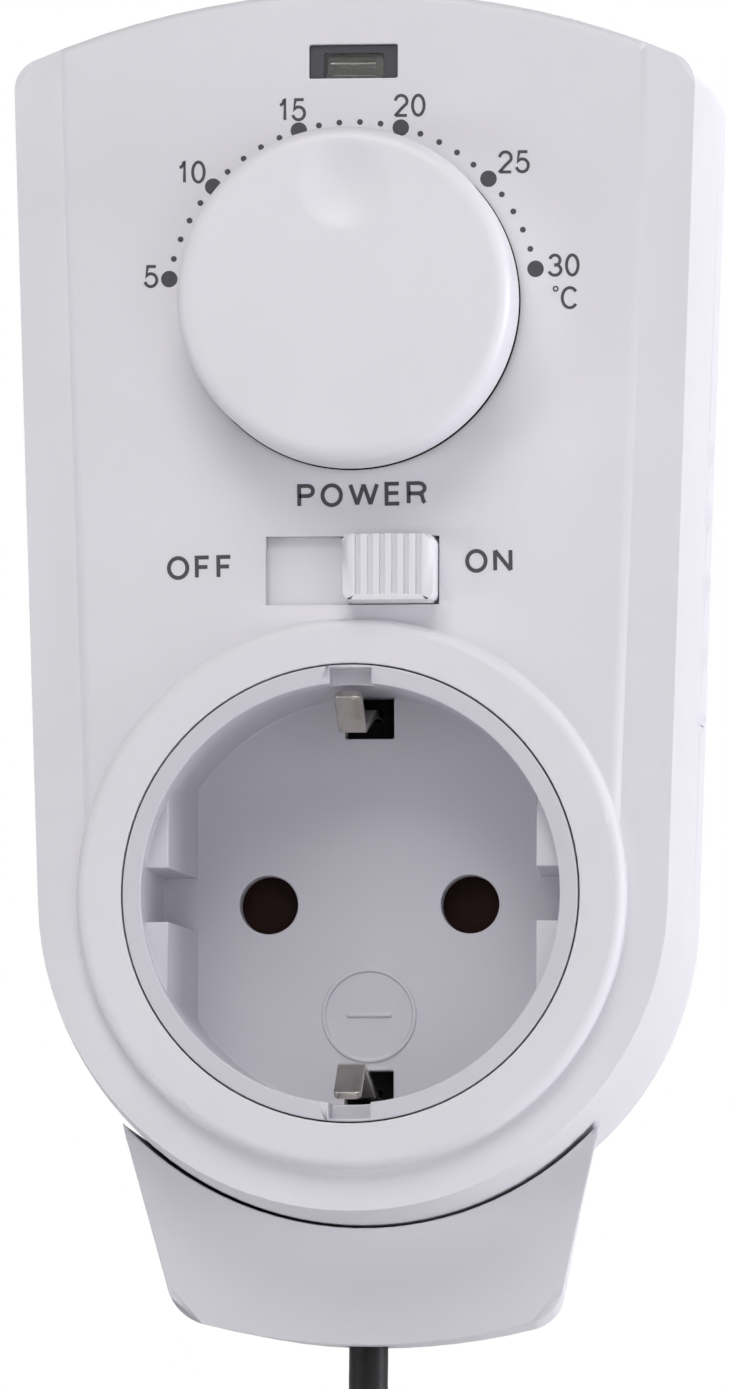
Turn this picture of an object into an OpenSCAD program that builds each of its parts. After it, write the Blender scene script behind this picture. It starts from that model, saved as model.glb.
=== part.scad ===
// Plug-in temperature controller: a thermostat that plugs into a wall socket, carries a
// socket of its own and switches it by a remote probe on a thin lead.
// Right is +X, the wall is +Y, up is +Z. The origin lies between the plug pins, on the
// plug's end face, and every length is in millimetres.

/* [Plug and socket] */
// Distance between the two pins of the plug, and of the socket
pin_spacing = 19; // [18:0.5:20]
// Diameter of a plug pin
pin_d = 4.8; // [4.6:0.1:5]
// Length of a plug pin outside the plug
pin_len = 19; // [17:0.5:20]
// Radius of the plug body at the back
plug_r = 18.4; // [18:0.1:19]
// Length of the plug body at the back
plug_len = 17.5; // [16:0.5:19]
// Radius of the socket recess
recess_r = 19.5; // [19.2:0.1:20]
// Depth of the socket recess
recess_depth = 17.5; // [16.5:0.5:18.5]
// Diameter of the pin holes in the recess floor
hole_d = 5.5; // [5.2:0.1:5.8]
// Thickness of the rim round the recess
rim_wall = 1.7; // [1.5:0.1:2]

/* [Housing] */
// Depth of the housing from its face to its back
body_depth = 41; // [40:0.5:44]
// Depth of the front cover
front_depth = 18; // [16:0.5:19]
// Radius of the round lower end, at the joint of the covers
base_r = 30.4; // [30:0.1:33]
// Height of the crown above the socket's centre
crown_z = 85.3; // [84:0.1:90]
// Radius of the arched top
top_r = 78; // [70:1:100]
// How far each side leans outwards, in degrees
side_lean = 1.9; // [1:0.1:2.5]
// Radius of the two shoulders
shoulder_r = 4; // [3.9:0.1:6]
// How far the side walls draw in towards the face
face_inset = 1.1; // [0.8:0.1:1.5]
// How far the side walls draw in towards the back
back_inset = 1.5; // [1:0.1:1.6]
// Rounding of the front edge
face_round = 0.9; // [0.5:0.1:1.2]
// Rounding of the back edge
back_round = 2; // [1:0.1:2.2]
// Thickness of the side walls where the covers meet
side_wall = 2.6; // [2.4:0.1:3]
// Thickness of the face and of the back
face_wall = 2; // [1.8:0.1:2.4]
// Half width of the raised centre strip at the socket's height
strip_half = 24.2; // [22:0.1:25]
// How far the strip's edges lean outwards, in degrees
strip_lean = 2; // [1:0.1:3]
// Height of the strip above the side bands
strip_step = 0.6; // [0.3:0.1:1]
// Outer radius of the collar round the socket
collar_r = 25.6; // [24.5:0.1:26.5]
// Height of the collar above the strip
collar_h = 1.5; // [1:0.1:2]
// Gap between the collar and the socket insert
seam_gap = 0.15; // [0.1:0.05:0.3]

/* [Cable foot] */
// Half width that the foot's sides would have at the socket's height
foot_half = 27; // [26:0.1:28]
// How far the foot's sides lean in, in degrees
foot_lean = 12.5; // [8:0.5:16]
// How far the foot reaches below the round lower end
foot_drop = 11; // [10.2:0.1:14]
// Radius of the foot's curved bottom
foot_bottom_r = 63; // [50:1:90]
// Radius of the foot's corners
foot_corner_r = 4.5; // [3:0.1:6]
// How far behind the face the foot begins
foot_set_back = 9; // [8:0.5:11]
// Backward slope of the foot's front, in degrees
foot_slope = 16.5; // [10:0.5:20]
// How far the foot's sides draw in towards the back, at the socket's height
foot_draft = 4; // [1:0.1:5]

/* [Temperature dial] */
// Height of the dial's centre above the socket's centre
dial_z = 55.1; // [54:0.1:56]
// Radius of the knob
knob_r = 15.6; // [14:0.1:16.5]
// Height of the knob
knob_h = 8; // [6:0.5:10]
// Rounding of the knob's front edge
knob_round = 1.4; // [0.8:0.1:2]
// Radius of the finger dimple
dimple_r = 4; // [3:0.1:5]
// Diameter of the control's shaft
shaft_d = 6; // [5:0.1:6.4]

/* [Power switch] */
// Height of the switch above the socket's centre
slide_z = 30.1; // [29.5:0.1:31]
// Width of the slot
slot_w = 16.2; // [15.8:0.1:16.6]
// Height of the slot
slot_h = 6.4; // [6:0.1:7]
// Width of the slider's cap
cap_w = 8.6; // [8.2:0.1:9]
// Height of the cap above the face
cap_proud = 3.6; // [0.8:0.1:4.5]
// Number of grooves across the cap
cap_grooves = 6; // [4:1:7]

/* [Indicator] */
// Height of the indicator window above the socket's centre
window_z = 77.7; // [77:0.1:78]
// Width of the window
window_w = 8.3; // [7:0.1:9]
// Height of the window
window_h = 3.2; // [3:0.1:3.6]

/* [Probe lead] */
// Diameter of the lead
cord_d = 3.7; // [3.5:0.05:3.8]
// Radius of the coil's outermost turn
coil_r = 27.2; // [26:0.1:28]
// Distance between turns that lie beside each other
turn_pitch = 4.7; // [4.6:0.05:4.9]
// Distance between layers of turns
layer_pitch = 4.6; // [4.5:0.05:4.8]
// Diameter of the probe
probe_d = 5.4; // [5:0.1:7]
// Length of the probe's metal tip
probe_len = 22; // [15:1:30]

/* [Hidden] */
$fn = 64;

// Overrun of every cut past the face that it cuts
over = 1;
// Running gap between pieces that move past each other
run_gap = 0.3;
// Gap between pieces that are fitted together
fit_gap = 0.1;

// Steps of the curves that are drawn point by point
base_steps = 48;
corner_steps = 8;
top_steps = 18;
foot_steps = 12;
crown_steps = 5;
round_steps = 5;

// Depths along Y
back_y = -plug_len;
face_y = back_y - body_depth;
joint_y = face_y + front_depth;
rim_y = face_y - collar_h;
floor_y = rim_y + recess_depth;
floor_wall = 2.5;
floor_back_y = floor_y + floor_wall;
inner_face_y = face_y + face_wall;
inner_back_y = back_y - face_wall;

// The socket insert
insert_r = recess_r + rim_wall;
insert_flange = 0.8;
insert_flange_h = 1.5;
key_half = 2.5;
key_in = 3.3;
key_draft = 3.5;
key_start = 2;
collar_round = 1;
notch_w = 3.9;
notch_depth = 3;
notch_skin = 0.3;
window_half = 2.3;
clip_window_low = 15.6;
insert_leg_r = 1.6;
insert_leg_x = 18.9;
pillar_at = 12.2;
pillar_r = 2.1;
mark_r = 4.45;
mark_z = -10.4;
mark_w = 0.35;
mark_h = 0.2;
mark_bar = 4.2;

// The shutter behind the recess floor
shutter_r = 13;
shutter_t = 1.5;
shutter_pivot_r = 2.4;
shutter_fit = 0.08;
shutter_turned = 38;
shutter_front_y = floor_back_y + run_gap;
shutter_back_y = shutter_front_y + shutter_t;
spring_r = 3.4;
spring_wire = 0.4;
spring_turns = 2;
spring_gap = 0.15;
spring_pitch = 0.5;
spring_leg = 4;

// The carrier that holds the contacts
carrier_gap = 1.7;
carrier_y = shutter_back_y + carrier_gap;
carrier_back_gap = 2.9;
carrier_back_y = inner_back_y - carrier_back_gap;
carrier_half = 15;
carrier_r = 19.3;
carrier_screw_r = 1;
carrier_screw_reach = 3;
carrier_head_r = 1.9;
carrier_head_h = 0.9;
pocket_half = 4.3;

// The earth bracket and its clips
clip_t = 0.7;
clip_w = 2.6;
clip_x = -0.5;
clip_tip = 2.8;
clip_tip_z = 18.7;
clip_bend = 7;
clip_bend_z = 15.7;
clip_leg_z = 17.9;
strap_y = carrier_y + clip_t / 2 + fit_gap;
rivet_r = 1.5;

// The contacts that grip a load's pins, and the busbars
contact_t = 0.6;
contact_grip = 0.1;
contact_gap = pin_d - contact_grip;
contact_h = 6.4;
contact_inset = 0.8;
contact_front_y = carrier_y + contact_inset;
contact_back_y = carrier_back_y - contact_inset;
contact_lip = 0.6;
tab_half = 1.6;
tab_t = 0.8;
tab_z = 17.3;
tab_y = (contact_front_y + contact_back_y) / 2;
busbar_t = 0.8;
busbar_w = 5;
busbar_gap = 1.7;
busbar_y = inner_back_y - busbar_gap;
lug_reach = 3;

// The plug at the back
shroud_wall = 2.5;
shroud_half = 13.6;
end_wall = 2.5;
plug_flange = 1.5;
plug_flange_t = 1.2;
plug_inner_y = inner_back_y - fit_gap - plug_flange_t;
pin_r = pin_d / 2;
pin_relief = 0.35;
pin_stem_r = 1.8;
pin_collar_r = 3.6;
pin_collar_h = 2.4;
pin_carrier_t = 12;
earth_strip_w = 6;
earth_groove = 1.5;
earth_bow = 0.45;
earth_bow_share = 0.45;
earth_lip = 0.8;
earth_room = earth_strip_w + 2 * fit_gap;
plug_strap_gap = 0.25;
plug_strap_y = inner_back_y - plug_strap_gap - clip_t / 2;
key_pocket_x = 15.4;
key_pocket_low = 2;
key_pocket_high = 11.4;

// Fastenings between the covers
boss_r = 2.9;
rear_boss_r = 3.7;
screw_r = 1.45;
screw_hole_r = 1.6;
screw_head_r = 2.7;
screw_head_h = 1.9;
screw_reach = 8;
screw_sink = 9;
boss_top = [24.4, 70.5];
boss_low = [17.7, -17.7];
boss_places = [boss_top, [-boss_top[0], boss_top[1]], boss_low, [-boss_low[0], boss_low[1]]];

// The circuit board
board_t = 1.6;
board_depth = 14.4;
board_y = face_y + board_depth;
board_back_y = board_y + board_t;
board_insert_gap = 1.8;
board_low = insert_r + insert_flange + board_insert_gap;
board_side_gap = 2;
board_half = base_r - side_wall - board_side_gap;
board_top_half = 15;
board_top_gap = 6.1;
board_top = crown_z - board_top_gap;
board_shoulder = 5.2;
post_r = 2.6;
post_at = [20.5, 40];
board_screw_r = 1.1;
board_screw_head_r = 2.1;
board_screw_head_h = 1.4;
board_screw_reach = 6;

// The dial and its control
knob_gap = 0.4;
knob_wall = 1.8;
knob_hub_r = 4.8;
knob_hub_reach = 1.2;
knob_hub_gap = 0.35;
knob_hole_r = knob_hub_r + knob_hub_gap;
dimple_at = 10.1;
dimple_depth = 0.75;
dimple_ball = (dimple_r * dimple_r + dimple_depth * dimple_depth) / (2 * dimple_depth);
shaft_r = shaft_d / 2;
shaft_flat = 0.6;
shaft_in_knob = 5.4;
shaft_in_pot = 3.6;
shaft_fit = 0.08;
pot_r = 8.2;
pot_h = 7.6;
pot_y = board_y - pot_h;
pot_neck_r = 3.9;
pot_neck_h = 2.2;
pot_foot_w = 10;
pot_foot_h = 5;
pot_foot_t = 1.2;

// The power switch
slide_travel = slot_w - cap_w - 2 * fit_gap;
slot_wall = 1.3;
apron_t = 1;
apron_gap = 0.15;
apron_y = face_y + slot_wall + apron_gap;
apron_back_y = apron_y + apron_t;
apron_lap = 1.2;
apron_half_h = slot_h / 2 + apron_lap;
apron_room = 2 * (slot_w / 2 + slide_travel + apron_lap + fit_gap);
rail_w = 1.2;
rail_lip = 0.8;
rail_lip_t = 1;
cap_x = slot_w / 2 - fit_gap - cap_w / 2;
cap_h = slot_h - 2 * fit_gap;
cap_corner = 0.9;
groove_w = 0.5;
groove_depth = 0.5;
groove_pitch = 1.13;
groove_stop = 0.55;
slide_dip = 0.25;
slide_dip_lap = 1.5;
slide_dip_flat = 0.3;
slide_dip_corner = 1.2;
lever_w = 3;
lever_h = 2.6;
lever_room = 0.5;
switch_w = 19;
switch_h = 7;
switch_t = 6.6;
switch_y = board_y - switch_t;
switch_slot_h = lever_h + lever_room;
switch_slot_w = slide_travel + lever_w + 2 * lever_room;
switch_slot_depth = 2.6;
fork_t = 1;
fork_reach = 2.4;

// The indicator
lens_sink = 0.5;
lens_lap = 1;
lens_flange_t = 0.8;
lamp_r = 1.15;
lamp_len = 5.6;
lamp_depth = 3;
lamp_y = inner_face_y + lamp_depth;
lamp_wire = 0.5;
lamp_holder_w = 9;
lamp_holder_h = 3.6;
lamp_cup = 0.6;

// The grips on the sides
grip_count = 5;
grip_pitch = 6.37;
grip_mid_z = 30.4;
grip_r = 3;
grip_proud = 0.5;
grip_front = 15.5;
grip_back = 8;

// The foot, and the clamp inside it
cord_x = -0.5;
cord_depth = 21;
cord_y = face_y + cord_depth;
cord_hole_r = cord_d / 2 + fit_gap;
foot_low = base_r + foot_drop;
foot_top_z = -22.5;
foot_rise = 15;
foot_seam_gap = 0.15;
foot_room_top = 26;
clamp_w = 20;
clamp_h = 4.6;
clamp_t = 2.2;
clamp_lift = 0.3;
clamp_z = clamp_lift - base_r - foot_drop / 2;
clamp_post_x = 6.6;
clamp_seat_y = cord_y + cord_d / 2;
clamp_screw_r = 1.1;
clamp_screw_reach = 6;
clamp_head_r = 2;
clamp_head_h = 1.1;
foot_heel = 2;
foot_heel_y = clamp_seat_y + foot_heel;

// The lead outside the foot, and the coil that keeps its spare length
coil_x = 0;
coil_z = -110;
coil_start = 23;
coil_layers = 4;
coil_turns = (10 + coil_start / 360 - (coil_layers - 1) / 2) / coil_layers;
coil_steps = 24;
coil_back_y = cord_y + layer_pitch * (coil_layers - 1) / 2;
coil_front_y = coil_back_y - layer_pitch * (coil_layers - 1);
cord_route = [
    [-0.5, -37.5, -31],
    [-0.5, -37.5, -41.8],
    [-0.5, -37.5, -46],
    [-0.1, -37.4, -51],
    [1.4, -37, -56],
    [3.9, -36.2, -61],
    [7, -35.2, -66],
    [10.1, -34.2, -71],
    [13.2, -33.1, -76],
    [16.2, -31.9, -81]
];
tail_route = [
    [27.2, -44.4, -117],
    [27, -44.4, -122],
    [26.6, -44.4, -128],
    [26.1, -44.4, -136],
    [26, -44.4, -143],
    [26, -44.4, -150]
];
tie_t = 0.9;
tie_w = 4;
sleeve_len = 12;
sleeve_over = 0.5;

// Electronic parts on the back of the board: places, then sizes along X, Z and Y
relay_at = [-19.5, 55.5];
relay_size = [19, 15.5, 15.5];
dropper_at = [-20, 45];
dropper_size = [18, 7, 12.5];
smoothing_places = [[9, 67], [9, 57]];
smoothing_r = 4;
smoothing_h = 11.5;
varistor_at = [19.5, 60];
varistor_r = 4.5;
varistor_t = 3.5;
fuse_at = [20, 51.5];
fuse_r = 4.2;
fuse_h = 8;
chip_at = [4, 38];
chip_size = [9.8, 6.4, 3.3];
resistor_at = [-13, 36];
resistor_count = 4;
resistor_r = 1.1;
resistor_l = 6.2;
resistor_pitch = 3.8;
diode_at = [2, 46];
diode_count = 3;
diode_r = 1.3;
diode_l = 5;
header_at = [20, 30];
header_size = [7.5, 5, 4];
plug_size = [6.5, 4.4, 5];

// The wires inside: where each ends, and how far along each way its points lie
wire_r = 1.1;
lug_z = tab_z + busbar_t;
wire_side = 1;
wire_back = 1.8;
pad_rise = 3.7;
pad_z = board_low + pad_rise;
live_from = [-pin_spacing / 2 - wire_side, busbar_y - wire_back, lug_z];
neutral_from = [pin_spacing / 2, tab_y + wire_side, lug_z];
switched_from = [-pin_spacing / 2, tab_y, tab_z];
live_pad = [-18, board_back_y, pad_z];
neutral_pad = [11.5, board_back_y, pad_z];
switched_pad = [-7, board_back_y, pad_z];
wire_share = [[0, 0, 0], [0, 0, 0.2], [0.1, 0.25, 0.47], [0.45, 0.54, 0.78], [0.85, 0.77, 0.97],
    [1, 0.89, 1], [1, 1, 1]];
conductor_r = 0.6;
conductor_side = 0.75;
conductor_back = 9;
side_run_x = (insert_leg_x + insert_leg_r + base_r - side_wall) / 2;
side_run = [side_run_x, inner_back_y - conductor_back, 5];
conductor_end = [header_at[0], board_back_y + header_size[2] + plug_size[2] / 2, header_at[1] - plug_size[1] / 2];
to_side_share = [[0, 0, 0], [0, 0, 0.033], [0.09, 0.26, 0.11], [0.22, 0.5, 0.18], [0.35, 0.74, 0.26],
    [0.47, 0.99, 0.36], [0.58, 1, 0.44], [0.69, 1, 0.53], [0.82, 1, 0.61], [1, 1, 0.78]];
from_side_share = [[0, 0, 0], [0.26, 0.07, 0.35], [0.45, 0.33, 0.64], [0.72, 0.68, 0.82], [0.95, 0.95, 0.9],
    [1, 1, 0.95], [1, 1, 1]];

// Points between two places, by their shares of the way along X, Y and Z
function laid(from, to, shares) = [for (s = shares) [for (k = [0:2]) from[k] + (to[k] - from[k]) * s[k]]];

function unit(v) = v / norm(v);

function tangent(p, i) =
    i == 0 ? unit(p[1] - p[0]) :
    i == len(p) - 1 ? unit(p[i] - p[i - 1]) :
    unit(unit(p[i + 1] - p[i]) + unit(p[i] - p[i - 1]));

// One ring of a tube's points, square to its route
function ring(p, i, r, sides, side_way) =
    let (t = tangent(p, i), u = unit(cross(t, side_way)), v = cross(t, u))
    [for (k = [0:sides - 1]) p[i] + r * (cos(360 * k / sides) * u + sin(360 * k / sides) * v)];

// A round tube along a route. side_way is a direction that the route never follows.
module tube(p, r, sides = 8, side_way = [0, 1, 0]) {
    n = len(p);
    points = [for (i = [0:n - 1]) each ring(p, i, r, sides, side_way)];
    walls = [for (i = [0:n - 2], k = [0:sides - 1])
        let (a = i * sides + k, b = i * sides + (k + 1) % sides)
        each [[a, b + sides, b], [a, a + sides, b + sides]]];
    first_cap = [for (k = [1:sides - 2]) [0, k, k + 1]];
    last_cap = [for (k = [1:sides - 2]) (n - 1) * sides * [1, 1, 1] + [0, k + 1, k]];
    polyhedron(points, concat(walls, first_cap, last_cap));
}

// Height at which a rounding of radius r sits between a leaning side and an arc
function rounding_z(side, lean, centre_z, arc_r, r, way) =
    let (a = (side - r) / cos(lean), t = tan(lean), q = 1 + t * t,
        h = a * t - centre_z, c = a * a + centre_z * centre_z - pow(arc_r - r, 2))
    (-h + way * sqrt(h * h - q * c)) / q;

function rounding_x(side, lean, z, r) = (side - r) / cos(lean) + z * tan(lean);

top_centre_z = crown_z - top_r;
shoulder_z = rounding_z(base_r, side_lean, top_centre_z, top_r, shoulder_r, 1);
shoulder_x = rounding_x(base_r, side_lean, shoulder_z, shoulder_r);
shoulder_turn = atan2(shoulder_x, shoulder_z - top_centre_z);

foot_side = foot_half * cos(foot_lean);
foot_centre_z = foot_bottom_r - foot_low;
foot_corner_z = rounding_z(foot_side, foot_lean, foot_centre_z, foot_bottom_r, foot_corner_r, -1);
foot_corner_x = rounding_x(foot_side, foot_lean, foot_corner_z, foot_corner_r);
foot_turn = atan2(foot_corner_x, foot_centre_z - foot_corner_z);
foot_y = face_y + foot_set_back;
foot_seam_r = base_r + foot_seam_gap;

// Draws a flat shape in the X-Z plane and gives it depth from one Y to a lesser one
module slab(y_back, y_front) {
    translate([0, y_back, 0]) rotate([90, 0, 0]) linear_extrude(y_back - y_front) children();
}

// Turns a body drawn with Z towards the viewer so that it stands at a depth Y
module facing(y, x = 0, z = 0) {
    translate([x, y, z]) rotate([90, 0, 0]) children();
}

module both_sides() {
    children();
    mirror([1, 0, 0]) children();
}

// Points of an arc, without its last one
function arc(centre, r, from, to, steps) =
    [for (i = [0:steps - 1]) let (a = from + (to - from) * i / steps) centre + r * [cos(a), sin(a)]];

// The outline of the housing, drawn in by inset
function outline_points(inset) = concat(
    arc([0, 0], base_r - inset, 180 + side_lean, 360 - side_lean, base_steps),
    [(base_r - inset) * [cos(side_lean), -sin(side_lean)]],
    arc([shoulder_x, shoulder_z], shoulder_r - inset, -side_lean, 90 - shoulder_turn, corner_steps),
    arc([0, top_centre_z], top_r - inset, 90 - shoulder_turn, 90 + shoulder_turn, top_steps),
    arc([-shoulder_x, shoulder_z], shoulder_r - inset, 90 + shoulder_turn, 180 + side_lean, corner_steps),
    [[-shoulder_x, shoulder_z] + (shoulder_r - inset) * [-cos(side_lean), -sin(side_lean)]]);

module outline(inset) {
    polygon(outline_points(inset));
}

// The same outline for the foot
module foot_outline(inset) {
    r_corner = foot_corner_r - inset;
    high = (foot_side - inset) * [cos(foot_lean), sin(foot_lean)];
    polygon(concat(
        [[-high[0], -high[1]]],
        arc([-foot_corner_x, foot_corner_z], r_corner, 180 + foot_lean, 270 - foot_turn, corner_steps),
        arc([0, foot_centre_z], foot_bottom_r - inset, 270 - foot_turn, 270 + foot_turn, foot_steps),
        arc([foot_corner_x, foot_corner_z], r_corner, 270 + foot_turn, 360 - foot_lean, corner_steps),
        [[foot_corner_x, foot_corner_z] + r_corner * [cos(foot_lean), -sin(foot_lean)]],
        [[high[0], -high[1]]]));
}

// How far a crowned wall with a rounded edge is drawn in, and how far it then is from the
// covers' joint
function edge_profile(depth, inset, round_r) =
    let (crown_r = (depth * depth + inset * inset) / (2 * inset), wall = depth - round_r,
        drawn_in = crown_r - sqrt(crown_r * crown_r - wall * wall))
    concat([for (i = [0:crown_steps]) let (d = wall * i / crown_steps)
        [crown_r - sqrt(crown_r * crown_r - d * d), d]],
        [for (i = [1:round_steps]) let (a = 90 * i / round_steps)
            [drawn_in + round_r * (1 - cos(a)), wall + round_r * sin(a)]]);

// A solid of the housing's outline whose wall follows that profile, from the joint upwards
module crowned_body(depth, inset, round_r) {
    profile = edge_profile(depth, inset, round_r);
    rings = [for (e = profile) [for (q = outline_points(e[0])) [q[0], q[1], e[1]]]];
    n = len(rings[0]);
    m = len(rings);
    walls = [for (j = [0:m - 2], k = [0:n - 1])
        let (a = j * n + k, b = j * n + (k + 1) % n)
        each [[a, b + n, b], [a, a + n, b + n]]];
    polyhedron([for (r = rings) each r],
        concat(walls, [[for (k = [0:n - 1]) k]], [[for (k = [n - 1:-1:0]) (m - 1) * n + k]]));
}

module grip_ribs() {
    for (i = [0:grip_count - 1]) {
        z = grip_mid_z + (i - (grip_count - 1) / 2) * grip_pitch;
        wall = base_r / cos(side_lean) + z * tan(side_lean);
        both_sides() translate([wall + grip_proud - grip_r, z]) circle(grip_r, $fn = 32);
    }
}

// The two bands beside the raised strip
module side_bands() {
    reach = crown_z + base_r;
    far = base_r + shoulder_r;
    both_sides() translate([strip_half - base_r * tan(strip_lean), -base_r]) rotate([0, 0, -strip_lean])
        rotate([90, 0, 0]) mirror([0, 0, 1]) linear_extrude(reach + over)
        polygon([[-strip_step / 2, strip_step / 2], [strip_step, -strip_step], [far, -strip_step],
            [far, strip_step / 2]]);
}

module front_cover() {
    color("gainsboro")
    difference() {
        union() {
            difference() {
                union() {
                    facing(joint_y) crowned_body(front_depth, face_inset, face_round);
                    slab(joint_y, face_y + grip_front) grip_ribs();
                }
                facing(face_y) side_bands();
                slab(face_y + strip_step, face_y - over) translate([-2 * base_r, -2 * base_r])
                    square([4 * base_r, 2 * base_r + key_half]);
                slab(joint_y + over, inner_face_y) outline(side_wall);
            }
            facing(inner_face_y - over / 2) rotate_extrude($fn = 128) collar_profile();
            for (p = boss_places) facing(joint_y, p[0], p[1])
                cylinder(h = joint_y - inner_face_y + over / 2, r = boss_r);
            both_sides() facing(board_y, post_at[0], post_at[1])
                cylinder(h = board_y - inner_face_y + over / 2, r = post_r);
            slide_frame();
        }
        facing(joint_y + over) cylinder(h = front_depth + collar_h + 2 * over, r = insert_r + seam_gap, $fn = 128);
        facing(inner_face_y + over, 0, dial_z) cylinder(h = face_wall + 2 * over, r = knob_hole_r);
        slab(inner_face_y + over, face_y - over) translate([-slot_w / 2, slide_z - slot_h / 2])
            square([slot_w, slot_h]);
        slab(inner_face_y + over, face_y + slot_wall) translate([-apron_room / 2, slide_z - apron_half_h - fit_gap])
            square([apron_room, 2 * (apron_half_h + fit_gap)]);
        slide_dish();
        slab(inner_face_y + over, face_y - over) translate([-window_w / 2, window_z - window_h / 2])
            square([window_w, window_h]);
        for (p = boss_places) facing(joint_y + over, p[0], p[1])
            cylinder(h = screw_reach + 2 * over, r = screw_r + fit_gap / 2);
        both_sides() facing(board_y + over, post_at[0], post_at[1])
            cylinder(h = board_screw_reach + over, r = board_screw_r + fit_gap / 2);
    }
}

// The shallow dish round the slot, whose border slopes from the face to the slot's edge
module slide_dish() {
    hull() {
        slab(face_y, face_y - over) dish_shape(slide_dip_lap);
        slab(face_y + slide_dip, face_y - over) dish_shape(slide_dip_flat);
    }
}

module dish_shape(lap) {
    across = slot_w / 2 + lap - slide_dip_corner;
    up = slot_h / 2 + lap - slide_dip_corner;
    for (x = [-across, across], z = [-up, up]) translate([x, slide_z + z]) circle(slide_dip_corner, $fn = 32);
    translate([-across, slide_z - up - slide_dip_corner]) square([2 * across, 2 * (up + slide_dip_corner)]);
    translate([-across - slide_dip_corner, slide_z - up]) square([2 * (across + slide_dip_corner), 2 * up]);
}

// Two hooked rails that keep the slider's apron up against the face
module slide_frame() {
    lip_y = apron_back_y + fit_gap;
    for (way = [-1, 1]) {
        edge_z = slide_z + way * (apron_half_h + fit_gap);
        slab(lip_y + rail_lip_t, inner_face_y - over / 2)
            translate([-apron_room / 2, way > 0 ? edge_z : edge_z - rail_w]) square([apron_room, rail_w]);
        slab(lip_y + rail_lip_t, lip_y)
            translate([-apron_room / 2, way > 0 ? edge_z - rail_lip : edge_z - over / 2])
                square([apron_room, rail_lip + over / 2]);
    }
}

module collar_profile() {
    height = inner_face_y - over / 2 - rim_y;
    difference() {
        union() {
            translate([insert_r, 0]) square([collar_r - insert_r, height - collar_round]);
            translate([insert_r, 0]) square([collar_r - insert_r - collar_round, height]);
            translate([collar_r - collar_round, height - collar_round]) circle(collar_round);
        }
        translate([0, -over]) square([insert_r + seam_gap, height + 2 * over]);
    }
}

module rear_cover() {
    color("gainsboro")
    difference() {
        union() {
            rear_shell();
            for (p = boss_places) facing(inner_back_y + over / 2, p[0], p[1])
                cylinder(h = inner_back_y + over / 2 - joint_y, r = rear_boss_r);
            intersection() {
                foot_solid();
                translate([-clamp_w / 2, clamp_seat_y, clamp_z - clamp_h / 2])
                    cube([clamp_w, body_depth, clamp_h]);
            }
        }
        for (p = boss_places) facing(back_y + over, p[0], p[1]) {
            cylinder(h = body_depth, r = screw_hole_r);
            cylinder(h = screw_sink + over, r = screw_head_r + fit_gap);
        }
        for (x = [-clamp_post_x, clamp_post_x]) facing(clamp_seat_y + clamp_screw_reach, x, clamp_z)
            cylinder(h = clamp_screw_reach + over, r = clamp_screw_r + fit_gap / 2);
    }
}

module rear_shell() {
    difference() {
        union() {
            facing(joint_y) mirror([0, 0, 1]) crowned_body(body_depth - front_depth, back_inset, back_round);
            slab(joint_y + grip_back, joint_y) grip_ribs();
            foot_solid();
        }
        slab(inner_back_y, joint_y - over) outline(side_wall);
        foot_room();
        facing(back_y + over) cylinder(h = face_wall + 2 * over, r = plug_r + fit_gap, $fn = 128);
    }
}

// The hollow plug, whose flange lies against the inside of the back
module plug_body() {
    color("whitesmoke")
    difference() {
        union() {
            facing(0) cylinder(h = -plug_inner_y, r = plug_r, $fn = 128);
            facing(plug_inner_y + plug_flange_t) cylinder(h = plug_flange_t, r = plug_r + plug_flange, $fn = 128);
        }
        plug_room();
    }
}

// Keeps what lies behind a plane that leans back from a line across the foot
module behind_front(shift = 0) {
    translate([-foot_low, foot_y + shift / cos(foot_slope), foot_top_z]) rotate([foot_slope, 0, 0])
        translate([0, 0, -2 * foot_low]) cube([2 * foot_low, 2 * foot_low, 4 * foot_low]);
}

// Keeps what lies above the slope that the foot's heel ends in
module above_heel(shift = 0) {
    translate([-foot_low, foot_heel_y, -foot_low + shift / cos(foot_rise)]) rotate([foot_rise, 0, 0])
        translate([0, -2 * foot_low, 0]) cube([2 * foot_low, 4 * foot_low, 4 * foot_low]);
}

// The foot's outline, drawn in by inset, carried back from its front to a depth Y
module foot_body(inset, y) {
    draft_share = foot_draft / foot_half * (y - foot_y) / (back_y - foot_y);
    facing(foot_y) mirror([0, 0, 1]) linear_extrude(y - foot_y, scale = [1 - draft_share, 1], slices = 1)
        foot_outline(inset);
}

module foot_solid() {
    intersection() {
        difference() {
            foot_body(0, back_y);
            slab(joint_y, foot_y - over) circle(foot_seam_r, $fn = 128);
        }
        behind_front();
        above_heel();
    }
}

module foot_room() {
    intersection() {
        difference() {
            foot_body(face_wall, inner_back_y);
            slab(joint_y, foot_y - over) circle(foot_seam_r + face_wall, $fn = 128);
            translate([-foot_low, back_y - body_depth, -foot_room_top])
                cube([2 * foot_low, body_depth, 2 * foot_low]);
        }
        behind_front(face_wall);
        above_heel(face_wall);
    }
    translate([cord_x, cord_y, -foot_low - over]) cylinder(h = 2 * face_wall + over, r = cord_hole_r, $fn = 32);
}

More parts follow.
